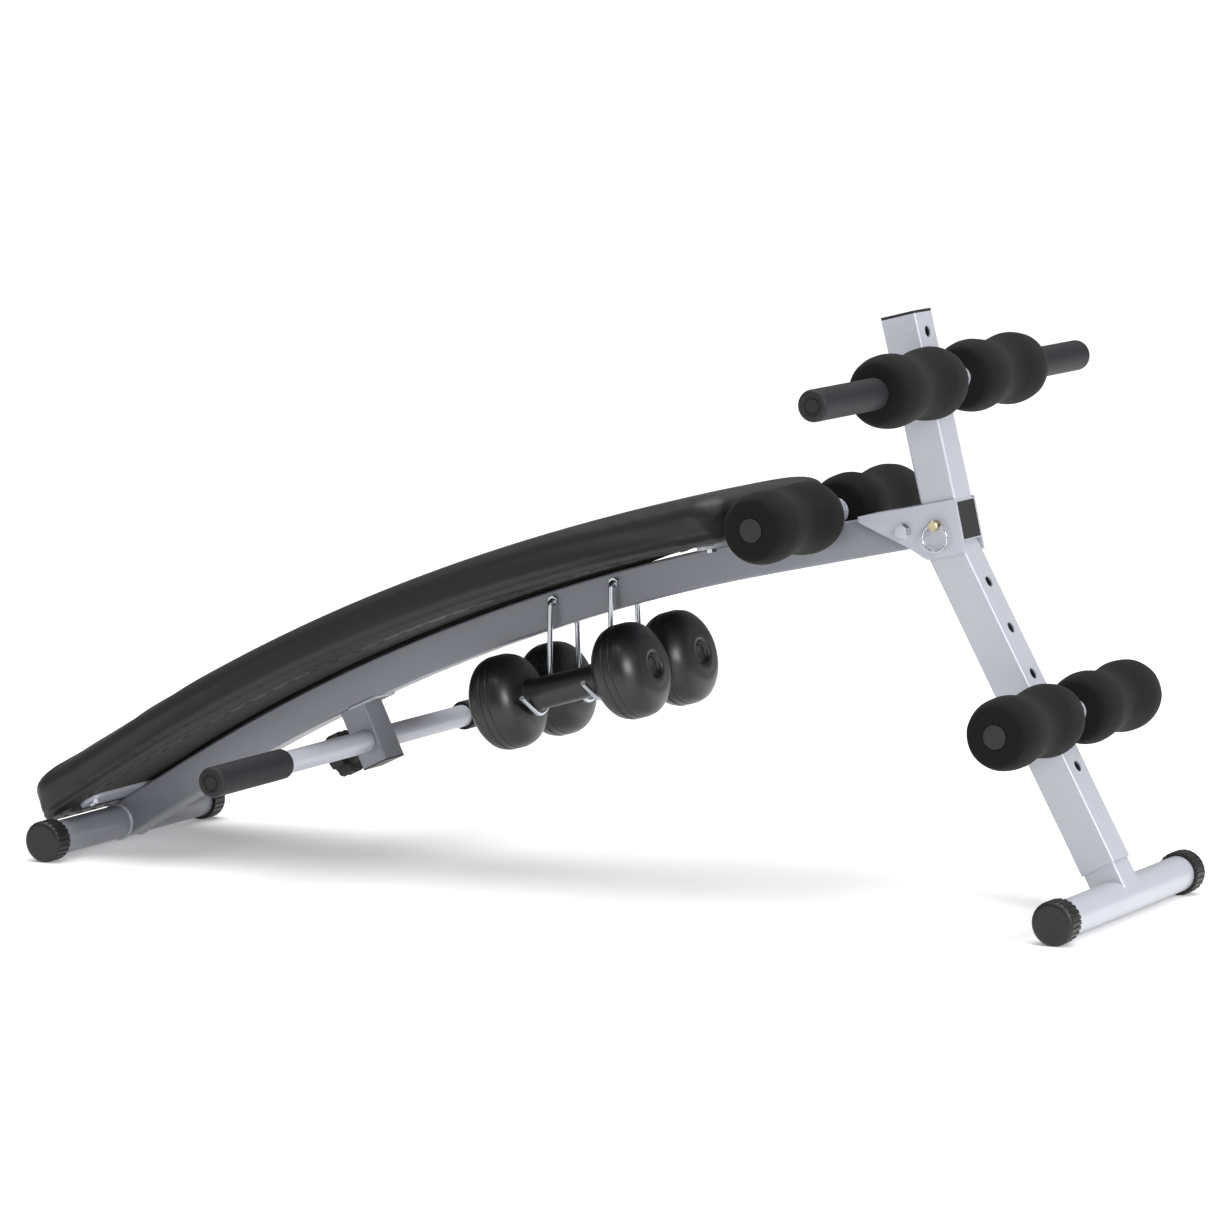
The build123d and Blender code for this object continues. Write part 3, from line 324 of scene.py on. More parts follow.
def make_piece(name: str, rings: Array, joined: bool = False, sharp_deg: float = 35.0) -> Object:
    """Makes a closed solid from rings of points, capped at both ends unless it joins up.

    Args:
        name: The piece's name.
        rings: Points, as rings by points by three.
        joined: Whether the last ring joins the first, as in a torus.
        sharp_deg: Edges that turn more than this stay crisp.

    Returns:
        The new object at the origin, with its faces outwards.
    """
    count, around = rings.shape[:2]
    points = rings.reshape(-1, 3)
    faces = ring_faces(count, around, joined)
    lists = faces.tolist()
    if not joined:
        first, last = len(points), len(points) + 1
        points = np.vstack([points, rings[0].mean(0), rings[-1].mean(0)])
        a = np.arange(around)
        b = (a + 1) % around
        end = (count - 1) * around
        fans = np.vstack(
            [
                np.stack([np.full(around, first), a, b], -1),
                np.stack([np.full(around, last), end + b, end + a], -1),
            ]
        )
        lists += fans.tolist()
    halves = [[f[0], f[1], f[2]] for f in lists]
    halves += [[f[0], f[2], f[3]] for f in lists if len(f) == 4]
    triangles = np.vstack(halves)
    p, q, r = (points[triangles[:, i]] for i in range(3))
    if np.einsum("ij,ij->i", p, np.cross(q, r)).sum() < 0:
        lists = [f[::-1] for f in lists]
    mesh = bpy.data.meshes.new(name)
    mesh.from_pydata(points.tolist(), [], lists)
    mesh.shade_smooth()
    mesh.set_sharp_from_angle(angle=math.radians(sharp_deg))
    piece = bpy.data.objects.new(name, mesh)
    bpy.context.scene.collection.objects.link(piece)
    return piece


def lathe(
    name: str, centre: Array, axis: Array, profile: Array, joined: bool = False, around: int = 96
) -> Object:
    """Turns a profile about an axis: each point is centre + along * axis + radius * (turned normal).

    Args:
        name: The piece's name.
        centre: A point on the axis.
        axis: The axis direction.
        profile: Pairs of distance along the axis and radius, in metres.
        joined: Whether the profile is a closed loop round a bore.
        around: Points round the axis.

    Returns:
        The new solid.
    """
    axis = np.asarray(axis, float) / np.linalg.norm(axis)
    side = np.cross(axis, (0.0, 0.0, 1.0) if abs(axis[2]) < 0.9 else (1.0, 0.0, 0.0))
    side /= np.linalg.norm(side)
    up = np.cross(axis, side)
    turn = np.linspace(0, 2 * np.pi, around, endpoint=False)
    spokes = np.cos(turn)[:, None] * side + np.sin(turn)[:, None] * up
    rings = np.asarray(centre) + profile[:, :1, None] * axis + profile[:, 1:, None] * spokes
    return make_piece(name, rings, joined)


def settle(piece: Object, finish: Finish, body: str, slot: str, *replaced: str) -> Object:
    """Dresses a finished piece and puts it on its CAD body.

    Args:
        piece: The piece, in place.
        finish: What it is made of.
        body: The CAD body it moves with.
        slot: The record's material slot; not used.
        replaced: CAD nodes it stands for.

    Returns:
        The same piece.
    """
    piece.data.materials.clear()
    piece.data.materials.append(finish.build())
    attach(piece, body)
    if replaced:
        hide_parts(*replaced)
    return piece


def node_box(node: str) -> tuple[Array, Array]:
    """The corners of a CAD node's box.

    Args:
        node: The node's name.

    Returns:
        Its lowest and highest corners.
    """
    low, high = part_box(node)
    return np.array(low), np.array(high)


def smooth_profile(knots: Array, steps: int) -> Array:
    """Carries a smooth curve through profile points: a uniform Catmull-Rom spline.

    Args:
        knots: Pairs of along and radius.
        steps: Points per span.

    Returns:
        The denser profile.
    """
    padded = np.vstack([2 * knots[0] - knots[1], knots, 2 * knots[-1] - knots[-2]])
    t = np.linspace(0, 1, steps, endpoint=False)[:, None]
    spans = [
        0.5
        * (
            2 * b
            + (c - a) * t
            + (2 * a - 5 * b + 4 * c - d) * t**2
            + (3 * b - a - 3 * c + d) * t**3
        )
        for a, b, c, d in zip(padded[:-3], padded[1:-2], padded[2:-1], padded[3:])
    ]
    return np.vstack([*spans, knots[-1:]])


def read_points(piece: Object) -> Array:
    """A piece's points.

    Args:
        piece: The piece.

    Returns:
        Its points as rows of three.
    """
    flat = np.empty(len(piece.data.vertices) * 3)
    piece.data.vertices.foreach_get("co", flat)
    return flat.reshape(-1, 3)


def write_points(piece: Object, points: Array) -> None:
    """Puts changed points back in a piece.

    Args:
        piece: The piece.
        points: Rows of three, in the piece's own order.
    """
    piece.data.vertices.foreach_set("co", points.ravel())
    piece.data.update()


def apply_modifier(piece: Object, name: str) -> None:
    """Applies one modifier, so that none is left on the piece.

    Args:
        piece: The piece.
        name: The modifier's name.
    """
    bpy.context.view_layer.objects.active = piece
    with bpy.context.temp_override(object=piece, active_object=piece, selected_objects=[piece]):
        bpy.ops.object.modifier_apply(modifier=name)


# ------------------------------------------------------------------ the arch
@dataclass(frozen=True)
class Arch:
    """The frame tube's centre line: straight, then a long arc, then straight again.

    Its run, slopes and radius repeat the CAD's own, in metres and radians.
    """

    rear_x: float
    rear_z: float
    rear_run: float = 0.127
    rear_slope: float = math.radians(30.0)
    front_slope: float = math.radians(11.5)
    radius: float = 2.448

    @property
    def arc_length(self) -> float:
        """Length of the arc along the centre line.

        Returns:
            The length.
        """
        return self.radius * (self.rear_slope - self.front_slope)

    def slope(self, station: Array) -> Array:
        """Slope of the line.

        Args:
            station: Distances along the line.

        Returns:
            The slopes in radians.
        """
        return self.rear_slope - np.clip(station - self.rear_run, 0, self.arc_length) / self.radius

    def point(self, station: Array, across: Array, rise: Array) -> Array:
        """Points given along the line, across the bench and away from the line.

        Args:
            station: Distances along the line.
            across: Distances along Y.
            rise: Distances above the line.

        Returns:
            The points, with a last axis of three.
        """
        station, across, rise = np.broadcast_arrays(station, across, rise)
        turned = self.slope(station)
        before = np.minimum(station, self.rear_run)
        after = np.maximum(station - self.rear_run - self.arc_length, 0)
        a, r = self.rear_slope, self.radius
        x = before * math.cos(a) + r * (math.sin(a) - np.sin(turned)) + after * np.cos(turned)
        z = before * math.sin(a) + r * (np.cos(turned) - math.cos(a)) + after * np.sin(turned)
        out_x = self.rear_x + x - rise * np.sin(turned)
        out_z = self.rear_z + z + rise * np.cos(turned)
        return np.stack([out_x, across, out_z], -1)

    def local(self, points: Array) -> tuple[Array, Array, Array]:
        """The other way round: station, across and rise of points.

        Args:
            points: Points with a last axis of three.

        Returns:
            Station, across and rise.
        """
        x, z = points[..., 0] - self.rear_x, points[..., 2] - self.rear_z
        a, b, r = self.rear_slope, self.front_slope, self.radius
        centre_x = self.rear_run * math.cos(a) + r * math.sin(a)
        centre_z = self.rear_run * math.sin(a) - r * math.cos(a)
        lean = np.arctan2(centre_x - x, z - centre_z)
        station = self.rear_run + r * (a - lean)
        rise = np.hypot(x - centre_x, z - centre_z) - r
        rear = x * math.cos(a) + z * math.sin(a)
        use_rear = rear < self.rear_run
        end_x = centre_x - r * math.sin(b)
        end_z = centre_z + r * math.cos(b)
        front = (x - end_x) * math.cos(b) + (z - end_z) * math.sin(b)
        use_front = front > 0
        arc_end = self.rear_run + self.arc_length
        station = np.where(use_rear, rear, np.where(use_front, arc_end + front, station))
        rear_rise = z * math.cos(a) - x * math.sin(a)
        front_rise = (z - end_z) * math.cos(b) - (x - end_x) * math.sin(b)
        rise = np.where(use_rear, rear_rise, np.where(use_front, front_rise, rise))
        return station, points[..., 1], rise


def foot_axis(place: str) -> Array:
    """The middle of a floor foot's tube, from its CAD box.

    Args:
        place: Which foot, rear or front.

    Returns:
        A point.
    """
    low, high = node_box(f"{place}_foot_tube")
    return (low + high) / 2


REAR_FOOT = foot_axis("rear")
ARCH = Arch(rear_x=float(REAR_FOOT[0]), rear_z=float(REAR_FOOT[2]))


# ------------------------------------------------------------------ foam rollers and grips
@dataclass(frozen=True)
class FoamRoller:
    """A moulded foam sleeve with two bulges and a waist, pushed on a roller tube. Metres."""

    node: str
    bore: float = 0.0128
    bulge: float = 0.0384
    waist: float = 0.0334
    face: float = 0.0285
    bulge_at: float = 0.2
    dent: float = 0.00018
    dent_from: float = 0.027
    dent_fade: float = 0.008

    def build(self) -> Object:
        """Turns the sleeve and dents it softly.

        Each end is a quarter ellipse from the face up to its bulge, and a cosine between the bulges
        dips to the waist. Sines of the turn and the length dent it by under 0.4 mm, as handling does.

        Returns:
            The sleeve, standing for its CAD node.
        """
        low, high = node_box(self.node)
        centre = (low + high) / 2
        length = high[1] - low[1]
        t = np.linspace(0, 1, 97)
        near = np.minimum(t, 1 - t) / self.bulge_at
        ellipse = np.sqrt(np.clip(1 - (1 - np.minimum(near, 1)) ** 2, 0, 1))
        ends = self.face + (self.bulge - self.face) * ellipse
        swing = np.cos(2 * np.pi * (t - 0.5) / (1 - 2 * self.bulge_at))
        middle = (self.bulge + self.waist) / 2 - (self.bulge - self.waist) / 2 * swing
        outer = np.stack([(t - 0.5) * length, np.where(near < 1, ends, middle)], -1)
        half = length / 2
        faces_in = np.linspace(0, 1, 6)
        inner_end = np.stack([np.full(6, half), self.face + (self.bore - self.face) * faces_in], -1)
        bore = np.stack([np.linspace(half, -half, 8), np.full(8, self.bore)], -1)
        outer_end = np.stack([np.full(6, -half), self.bore + (self.face - self.bore) * faces_in], -1)
        profile = np.vstack([outer, inner_end[1:], bore[1:], outer_end[1:-1]])
        piece = lathe(self.node.replace("foam", "foam_sleeve"), centre, (0.0, 1.0, 0.0), profile, joined=True)
        points = read_points(piece)
        rel = points - centre
        radius = np.hypot(rel[:, 0], rel[:, 2])
        turn = np.arctan2(rel[:, 2], rel[:, 0])
        phase = float(centre[0] * 37 + centre[1] * 51)
        ripple = np.sin(3 * turn + 90 * rel[:, 1] + phase) + np.sin(5 * turn - 130 * rel[:, 1] + 2 * phase)
        depth = self.dent * ripple * np.clip((radius - self.dent_from) / self.dent_fade, 0, 1)
        scale = 1 - np.abs(depth) / np.maximum(radius, 1e-6)
        points[:, 0] = centre[0] + rel[:, 0] * scale
        points[:, 2] = centre[2] + rel[:, 2] * scale
        write_points(piece, points)
        settle(piece, NITRILE_FOAM, self.node, "black_foam", self.node)
        return piece


@dataclass(frozen=True)
class HandGrip:
    """A dipped grip with a rolled lip at its open end and a rimmed, dished closed end. Metres."""

    node: str
    body: str
    radius: float = 0.0165
    bore: float = 0.01255
    wall: float = 0.003
    rim: float = 0.0036
    dish: float = 0.0018
    lip_round: float = 0.002
    end_round: float = 0.0045

    def build(self) -> Object:
        """Turns the grip from its open end to the middle of its dished face.

        Returns:
            The grip, standing for its CAD node.
        """
        low, high = node_box(self.node)
        centre = (low + high) / 2
        side = math.copysign(1.0, centre[1])
        length = high[1] - low[1]
        end, r = length / 2, self.radius
        turn = np.linspace(0, math.pi / 2, 7)
        lip_round, end_round = self.lip_round, self.end_round
        lip = np.stack([-end + lip_round * (1 - np.cos(turn)), r - lip_round + lip_round * np.sin(turn)], -1)
        body = np.stack([np.linspace(-end + 0.003, end - 0.006, 30), np.full(30, r)], -1)
        shoulder_along = end - end_round + end_round * np.sin(turn)
        shoulder = np.stack([shoulder_along, r - end_round + end_round * np.cos(turn)], -1)
        dished = np.array(
            [
                (end, r - end_round - self.rim * 0.3),
                (end - 0.0002, r - end_round - self.rim * 0.5),
                (end - self.dish, r - end_round - self.rim * 0.75),
                (end - self.dish, 0.0075),
                (end - self.dish * 0.4, 0.0068),
                (end - self.dish * 0.4, 0.0005),
            ]
        )
        floor = end - self.wall
        chamfer = self.bore + 0.0004
        inside = np.array([(-end, chamfer), (-end, self.bore), (floor, self.bore), (floor, 0.0005)])
        profile = np.vstack([inside[::-1], lip, body, shoulder, dished])
        piece = lathe(self.node.replace("grip", "grip_sleeve"), centre, (0.0, side, 0.0), profile)
        return settle(piece, GRIP_RUBBER, self.body, "grip_rubber", self.node)


# ------------------------------------------------------------------ dumbbells
@dataclass(frozen=True)
class Dumbbell:
    """A cement-filled dumbbell: two ribbed drums on a handle, one blow-moulded shell. Metres."""

    side: str
    slope: float = math.radians(15.3)
    head_middle: float = 0.079
    head_half: float = 0.031
    head_radius: float = 0.052
    handle_radius: float = 0.0174
    recess_radius: float = 0.014
    recess_depth: float = 0.005

    def half_profile(self) -> Array:
        """The outline from the middle of the handle to the middle of an end face.

        Returns:
            Pairs of distance along the axis and radius.
        """
        m, h, r = self.head_middle, self.head_half, self.head_radius
        inner = m - h
        waist = np.array([(0.0, self.handle_radius), (inner - 0.012, self.handle_radius)])
        collar = np.array(
            [
                (inner - 0.0105, self.handle_radius + 0.0006),
                (inner - 0.009, self.handle_radius + 0.0012),
                (inner - 0.004, self.handle_radius + 0.0014),
                (inner - 0.001, self.handle_radius + 0.0030),
            ]
        )
        flank = smooth_profile(
            np.array(
                [
                    (inner, self.handle_radius + 0.005),
                    (inner + 0.0022, 0.62 * r),
                    (inner + 0.0068, 0.80 * r),
                    (inner + 0.0140, 0.935 * r),
                    (m - 0.009, r - 0.0004),
                ]
            ),
            8,
        )
        ribs = []
        for middle in (m - 0.0045, m + 0.0045):
            along = np.linspace(-0.0022, 0.0022, 9)
            ribs.append(np.stack([middle + along, r - 0.0013 * np.exp(-((along / 0.0009) ** 2))], -1))
        outer = smooth_profile(
            np.array(
                [
                    (m + 0.009, r - 0.0002),
                    (m + 0.017, 0.945 * r),
                    (m + 0.0245, 0.80 * r),
                    (m + 0.0290, 0.63 * r),
                    (m + h - 0.0006, 0.46 * r),
                    (m + h, 0.36 * r),
                ]
            ),
            8,
        )
        rr, d = self.recess_radius, self.recess_depth
        recess = np.array(
            [
                (m + h + 0.0000, rr + 0.0030),
                (m + h - 0.0004, rr + 0.0010),
                (m + h - 0.0014, rr),
                (m + h - d + 0.001, rr - 0.0008),
                (m + h - d, rr - 0.0018),
                (m + h - d, rr * 0.72),
                (m + h - d + 0.0008, rr * 0.64),
                (m + h - d + 0.0008, rr * 0.30),
                (m + h - d, 0.0008),
            ]
        )
        return np.vstack([waist, collar, flank, *ribs, outer, recess])

    def build(self) -> Object:
        """Turns the shell about the dumbbell's sloping axis.

        Returns:
            The shell, standing for its CAD node.
        """
        node = f"dumbbell_{self.side}_shell"
        low, high = node_box(node)
        half = self.half_profile()
        mirrored = half[:0:-1] * np.array([-1.0, 1.0])
        axis = (math.cos(self.slope), 0.0, math.sin(self.slope))
        profile = np.vstack([mirrored, half])
        piece = lathe(f"dumbbell_{self.side}_drums", (low + high) / 2, axis, profile, around=128)
        return settle(piece, BLOWN_PLASTIC, f"dumbbell_{self.side}", "dumbbell_plastic", node)


# ------------------------------------------------------------------ padded board
@dataclass(frozen=True)
class Cushion:
    """The long pad: leathercloth pulled over foam and board. Metres along the arch."""

    rear: float = -0.026
    front: float = 0.933
    half_width: float = 0.140
    bottom: float = 0.0243
    top: float = 0.075
    corner: float = 0.034
    voxel: float = 0.006
    swell: float = 0.006
    crown: float = 0.0025
    blank_inset: float = 0.0015
    bottom_round: float = 0.004
    top_round: float = 0.015
    edge_softness: float = 0.0045
    side_give: float = 0.0005
    top_give: float = 0.001
    crease_up: float = 0.011
    welt_down: float = 0.013
    tuck: float = 0.004
    held_height: float = 0.004
    pressure: float = 4.0
    last_frame: int = 20
    around: int = 260

    def outline(self, count: int) -> Array:
        """Points round the plan: a rectangle with rounded corners, at even distances.

        Args:
            count: How many points.

        Returns:
            Pairs of station and across.
        """
        middle = (self.rear + self.front) / 2
        half_length = (self.front - self.rear) / 2
        turn = np.linspace(0, math.pi / 2, 13)
        arcs = []
        for quarter, (sx, sy) in enumerate(((1, 1), (-1, 1), (-1, -1), (1, -1))):
            angle = turn + quarter * math.pi / 2
            x = middle + sx * (half_length - self.corner) + self.corner * np.cos(angle)
            y = sy * (self.half_width - self.corner) + self.corner * np.sin(angle)
            arcs.append(np.stack([x, y], -1))
        loop = np.vstack([*arcs, arcs[0][:1]])
        run = np.concatenate([[0], np.cumsum(np.linalg.norm(np.diff(loop, axis=0), axis=1))])
        at = np.linspace(0, run[-1], count, endpoint=False)
        return np.stack([np.interp(at, run, loop[:, 0]), np.interp(at, run, loop[:, 1])], -1)

    def plan_rings(self, count: int, insets: Array) -> Array:
        """Plan points drawn in from the outline towards the pad's middle line.

        Args:
            count: Points round the outline.
            insets: How far in each ring lies at the pad's long sides.

        Returns:
            Station and across, as rings by points by two.
        """
        outline = self.outline(count)
        reach = self.half_width
        middle = np.clip(outline[:, 0], self.rear + reach, self.front - reach)
        spine = np.stack([middle, np.zeros_like(middle)], -1)
        return spine + (outline - spine) * (1 - insets[:, None, None] / reach)

    def edge_distance(self, station: Array, across: Array) -> Array:
        """How far inside the plan's outline points lie.

        Args:
            station: Distances along the line.
            across: Distances along Y.

        Returns:
            The distances, positive inside.
        """
        middle, half_length = (self.rear + self.front) / 2, (self.front - self.rear) / 2
        a = np.abs(station - middle) - (half_length - self.corner)
        b = np.abs(across) - (self.half_width - self.corner)
        outside = np.hypot(np.maximum(a, 0), np.maximum(b, 0)) + np.minimum(np.maximum(a, b), 0)
        return self.corner - outside

    def blank(self) -> Object:
        """The block before its cover swells: rings from under the middle, round the edge, over the top.

        Returns:
            The block.
        """
        inside, low_round, high_round = self.blank_inset, self.bottom_round, self.top_round
        innermost = self.half_width * 0.97
        turn = np.linspace(0, math.pi / 2, 7)
        under = np.stack([np.linspace(innermost, 0.012, 20), np.full(20, self.bottom)], -1)
        low_in = inside + low_round * (1 - np.sin(turn))
        low = np.stack([low_in, self.bottom + low_round * (1 - np.cos(turn))], -1)
        high_in = inside + high_round * (1 - np.cos(turn))
        high = np.stack([high_in, self.top - high_round - inside + high_round * np.sin(turn)], -1)
        over = np.stack([np.linspace(0.022, innermost, 20), np.full(20, self.top - inside)], -1)
        profile = np.vstack([under, low, high, over])
        plan = self.plan_rings(self.around, profile[:, 0])
        points = ARCH.point(plan[..., 0], plan[..., 1], profile[:, 1:2])
        return make_piece("pad_cover", points, sharp_deg=180)

    def inflate(self, piece: Object) -> None:
        """Lets the cover swell as cloth under pressure, held where it lies on the board, and caps its travel.

        Args:
            piece: The remeshed block.
        """
        before = read_points(piece)
        rise = ARCH.local(before)[2]
        held = piece.vertex_groups.new(name="held")
        held.add(np.nonzero(rise < self.bottom + self.held_height)[0].tolist(), 1.0, "REPLACE")
        cloth = piece.modifiers.new("Cloth", "CLOTH")
        settings = cloth.settings
        settings.use_pressure = True
        settings.uniform_pressure_force = self.pressure
        settings.effector_weights.gravity = 0.0
        settings.vertex_group_mass = "held"
        settings.quality = 5
        cloth.collision_settings.use_collision = False
        cloth.point_cache.frame_start, cloth.point_cache.frame_end = 1, self.last_frame
        for frame_number in range(1, self.last_frame + 1):
            bpy.context.scene.frame_set(frame_number)
        apply_modifier(piece, "Cloth")
        bpy.context.scene.frame_set(1)
        travel = read_points(piece) - before
        far = np.linalg.norm(travel, axis=1, keepdims=True)
        travel *= np.minimum(1, self.swell / np.maximum(far, 1e-9))
        LOG.info("cover swelled by up to %.1f mm", np.linalg.norm(travel, axis=1).max() / MM)
        write_points(piece, before + travel)

    def tailor(self, piece: Object) -> None:
        """Keeps the cover in its outline, crowns it and draws in its seams.

        A panel seam runs round the side 13 mm under the top and a pulled crease 11 mm over the bottom.
        Each is a groove, a bell curve of the rise, and small waves along the edge pucker the crease.
        Below the crease the side tucks in. Tanh curves stop the edge and the top softly.

        Args:
            piece: The swollen cover.
        """
        station, across, rise = ARCH.local(read_points(piece))
        edge = self.edge_distance(station, across)
        soft = self.edge_softness
        stop = soft + self.side_give
        kept = soft - stop * np.tanh(np.maximum(soft - edge, 0) / stop)
        inwards = np.where(edge < soft, kept - edge, 0)
        ease = np.clip(1 - np.maximum(edge, 0) / 0.02, 0, 1) ** 2
        along = station + across * 0.8
        pucker = 0.5 + 0.3 * np.sin(along * 410) + 0.2 * np.sin(along * 173 + 1.3)
        over_crease = rise - self.bottom - self.crease_up
        crease = 0.0026 * (0.7 + 0.5 * pucker) * np.exp(-((over_crease / 0.0022) ** 2))
        welt = 0.0013 * np.exp(-(((rise - self.top + self.welt_down) / 0.0014) ** 2))
        below = self.tuck * np.clip((self.bottom + self.crease_up - rise) / self.crease_up, 0, 1)
        inwards += ease * (crease + welt + below)
        middle, half_length = (self.rear + self.front) / 2, (self.front - self.rear) / 2
        share = across / self.half_width
        use_end = (np.abs(station - middle) - half_length) > (np.abs(across) - self.half_width)
        station = station - np.where(use_end, np.sign(station - middle) * inwards, 0)
        across = across - np.where(use_end, 0, np.sign(across) * inwards)
        lifted = np.clip((rise - self.bottom) / (self.top - self.bottom), 0, 1.2)
        over = np.maximum(rise - self.top + soft, 0)
        stop = soft + self.top_give
        rise = np.where(over > 0, self.top - soft + stop * np.tanh(over / stop), rise)
        rise = rise + self.crown * lifted * (1 - np.clip(np.abs(share), 0, 1) ** 2)
        rise = np.maximum(rise, self.bottom - 0.0003)
        write_points(piece, ARCH.point(station, across, rise))

    def build(self) -> Object:
        """Makes, swells, smooths and tailors the cover.

        Returns:
            The cover, standing for the CAD cushion.
        """
        piece = self.blank()
        remesh = piece.modifiers.new("Remesh", "REMESH")
        remesh.mode, remesh.voxel_size = "VOXEL", self.voxel
        apply_modifier(piece, "Remesh")
        self.inflate(piece)
        smooth = piece.modifiers.new("Smooth", "SMOOTH")
        smooth.factor, smooth.iterations = 0.5, 3
        apply_modifier(piece, "Smooth")
        finer = piece.modifiers.new("Finer", "SUBSURF")
        finer.levels = finer.render_levels = 1
        apply_modifier(piece, "Finer")
        self.tailor(piece)
        piece.data.shade_smooth()
        settle(piece, LEATHERCLOTH, "frame", "black_vinyl", "pad_cushion")
        return piece

    def board_panel(self) -> Object:
        """The part of the board left bare inside the cover's hem, seen from below.

        Returns:
            The panel, standing for the CAD board.
        """
        innermost, chamfered, side = 0.97 * self.half_width, 0.05, 0.026
        under, upper = 0.0241, 0.030
        insets = np.array([innermost, chamfered, side, side, chamfered, innermost])
        rise = np.array([under, under, under, upper, upper, upper])
        plan = self.plan_rings(self.around, insets)
        piece = make_piece("board_panel", ARCH.point(plan[..., 0], plan[..., 1], rise[:, None]))
        return settle(piece, STAINED_PLYWOOD, "frame", "plywood", "pad_board")

    def stitches(self) -> Object:
        """Dark stitches round the underside, 17 mm in from the edge and about 31 mm apart.

        Returns:
            The stitches, in one piece.
        """
        count, inset = 78, 0.017
        outline = self.outline(count)
        at = self.plan_rings(count, np.array([inset]))[0]
        along = np.roll(outline, -1, 0) - np.roll(outline, 1, 0)
        along /= np.linalg.norm(along, axis=1, keepdims=True)
        across = np.stack([-along[:, 1], along[:, 0]], -1)
        half = np.array([0.005, 0.0005, 0.0006])
        signs = (-1, 1)
        corners = np.array([[x, y, z] for x in signs for y in signs for z in signs]) * half
        plan = at[:, None] + corners[None, :, :1] * along[:, None] + corners[None, :, 1:2] * across[:, None]
        points = ARCH.point(plan[..., 0], plan[..., 1], self.bottom - 0.0002 + corners[None, :, 2])
        box = np.array([(0, 1, 3, 2), (4, 6, 7, 5), (0, 4, 5, 1), (2, 3, 7, 6), (0, 2, 6, 4), (1, 5, 7, 3)])
        faces = (box[None] + len(corners) * np.arange(count)[:, None, None]).reshape(-1, 4)
        mesh = bpy.data.meshes.new("hem_stitches")
        mesh.from_pydata(points.reshape(-1, 3).tolist(), [], faces.tolist())
        piece = bpy.data.objects.new("hem_stitches", mesh)
        bpy.context.scene.collection.objects.link(piece)
        return settle(piece, MOULDED_PLASTIC, "frame", "black_plastic")


# ------------------------------------------------------------------ welds
@dataclass(frozen=True)
class WeldBead:
    """A weld run round a closed path, lumpy as it was laid. Metres."""

    name: str
    body: str
    path: Array
    radius: float

    def build(self) -> Object:
        """Sweeps the bead, its radius rippled every few millimetres along the run.

        Returns:
            The bead.
        """
        path = np.vstack([self.path, self.path[:1]])
        run = np.concatenate([[0], np.cumsum(np.linalg.norm(np.diff(path, axis=0), axis=1))])
        count = max(24, int(run[-1] / 0.0011))
        at = np.linspace(0, run[-1], count, endpoint=False)
        spine = np.stack([np.interp(at, run, path[:, i]) for i in range(3)], -1)
        ahead = np.roll(spine, -1, 0) - np.roll(spine, 1, 0)
        ahead /= np.linalg.norm(ahead, axis=1, keepdims=True)
        centre = spine.mean(0)
        out = spine - centre
        out -= np.einsum("ij,ij->i", out, ahead)[:, None] * ahead
        out /= np.linalg.norm(out, axis=1, keepdims=True)
        up = np.cross(ahead, out)
        turn = np.linspace(0, 2 * np.pi, 10, endpoint=False)
        fine = 0.09 * np.sin(2 * np.pi * at / 0.0042)
        slow = 0.05 * np.sin(2 * np.pi * at / 0.0171)
        ripple = self.radius * (1 + fine + slow)
        spokes = np.cos(turn)[None, :, None] * out[:, None] + np.sin(turn)[None, :, None] * up[:, None]
        rings = spine[:, None] + ripple[:, None, None] * spokes
        piece = make_piece(self.name, rings, joined=True, sharp_deg=180)
        return settle(piece, WELD_COAT, self.body, "grey_powder_coat")


def round_path(centre: Array, radius: float) -> Array:
    """A circle about the Y axis through a centre.

    Args:
        centre: Its centre.
        radius: Its radius.

    Returns:
        Its points.
    """
    turn = np.linspace(0, 2 * np.pi, 60, endpoint=False)
    return np.asarray(centre) + radius * np.stack([np.cos(turn), 0 * turn, np.sin(turn)], -1)


def square_path(centre: Array, forward: Array, half: float, corner: float = 0.004) -> Array:
    """A rounded square with sides along Y and a forward direction.

    Args:
        centre: Its centre.
        forward: The direction across Y, as a unit vector.
        half: Half its side.
        corner: Its corner radius.

    Returns:
        Its points.
    """
    turn = np.linspace(0, math.pi / 2, 6)
    loop = []
    for quarter, (sx, sy) in enumerate(((1, 1), (-1, 1), (-1, -1), (1, -1))):
        angle = turn + quarter * math.pi / 2
        f = sx * (half - corner) + corner * np.cos(angle)
        y = sy * (half - corner) + corner * np.sin(angle)
        loop.append(f[:, None] * np.asarray(forward) + y[:, None] * np.array([0.0, 1.0, 0.0]))
    return np.asarray(centre) + np.vstack(loop)


def weld_beads() -> list[WeldBead]:
    """The welds modelled: round the knee tube and the rear foot, and on top of the drop post.

    Returns:
        The beads, not yet built.
    """
    beads = []
    beside_tube = 0.0206
    under_tube = -0.0198
    ringed = (
        ("knee_tube", "knee_roller_tube", 0.0126, 0.0020),
        ("rear_foot", "rear_foot_tube", 0.0189, 0.0024),
    )
    for side, side_name in ((-1, "left"), (1, "right")):
        for place, node, ring, radius in ringed:
            low, high = node_box(node)
            centre = (low + high) / 2 + np.array([0.0, side * beside_tube, 0.0])
            beads.append(WeldBead(f"{place}_weld_{side_name}", "frame", round_path(centre, ring), radius))
    low, high = node_box("drop_post")
    station = float(ARCH.local(np.array([(low[0] + high[0]) / 2, 0.0, high[2]]))[0])
    slope = float(ARCH.slope(np.array(station)))
    forward = (math.cos(slope), 0, math.sin(slope))
    path = square_path(ARCH.point(station, 0.0, under_tube), forward, float((high[1] - low[1]) / 2))
    beads.append(WeldBead("drop_post_weld", "frame", path, 0.0022))
    return beads


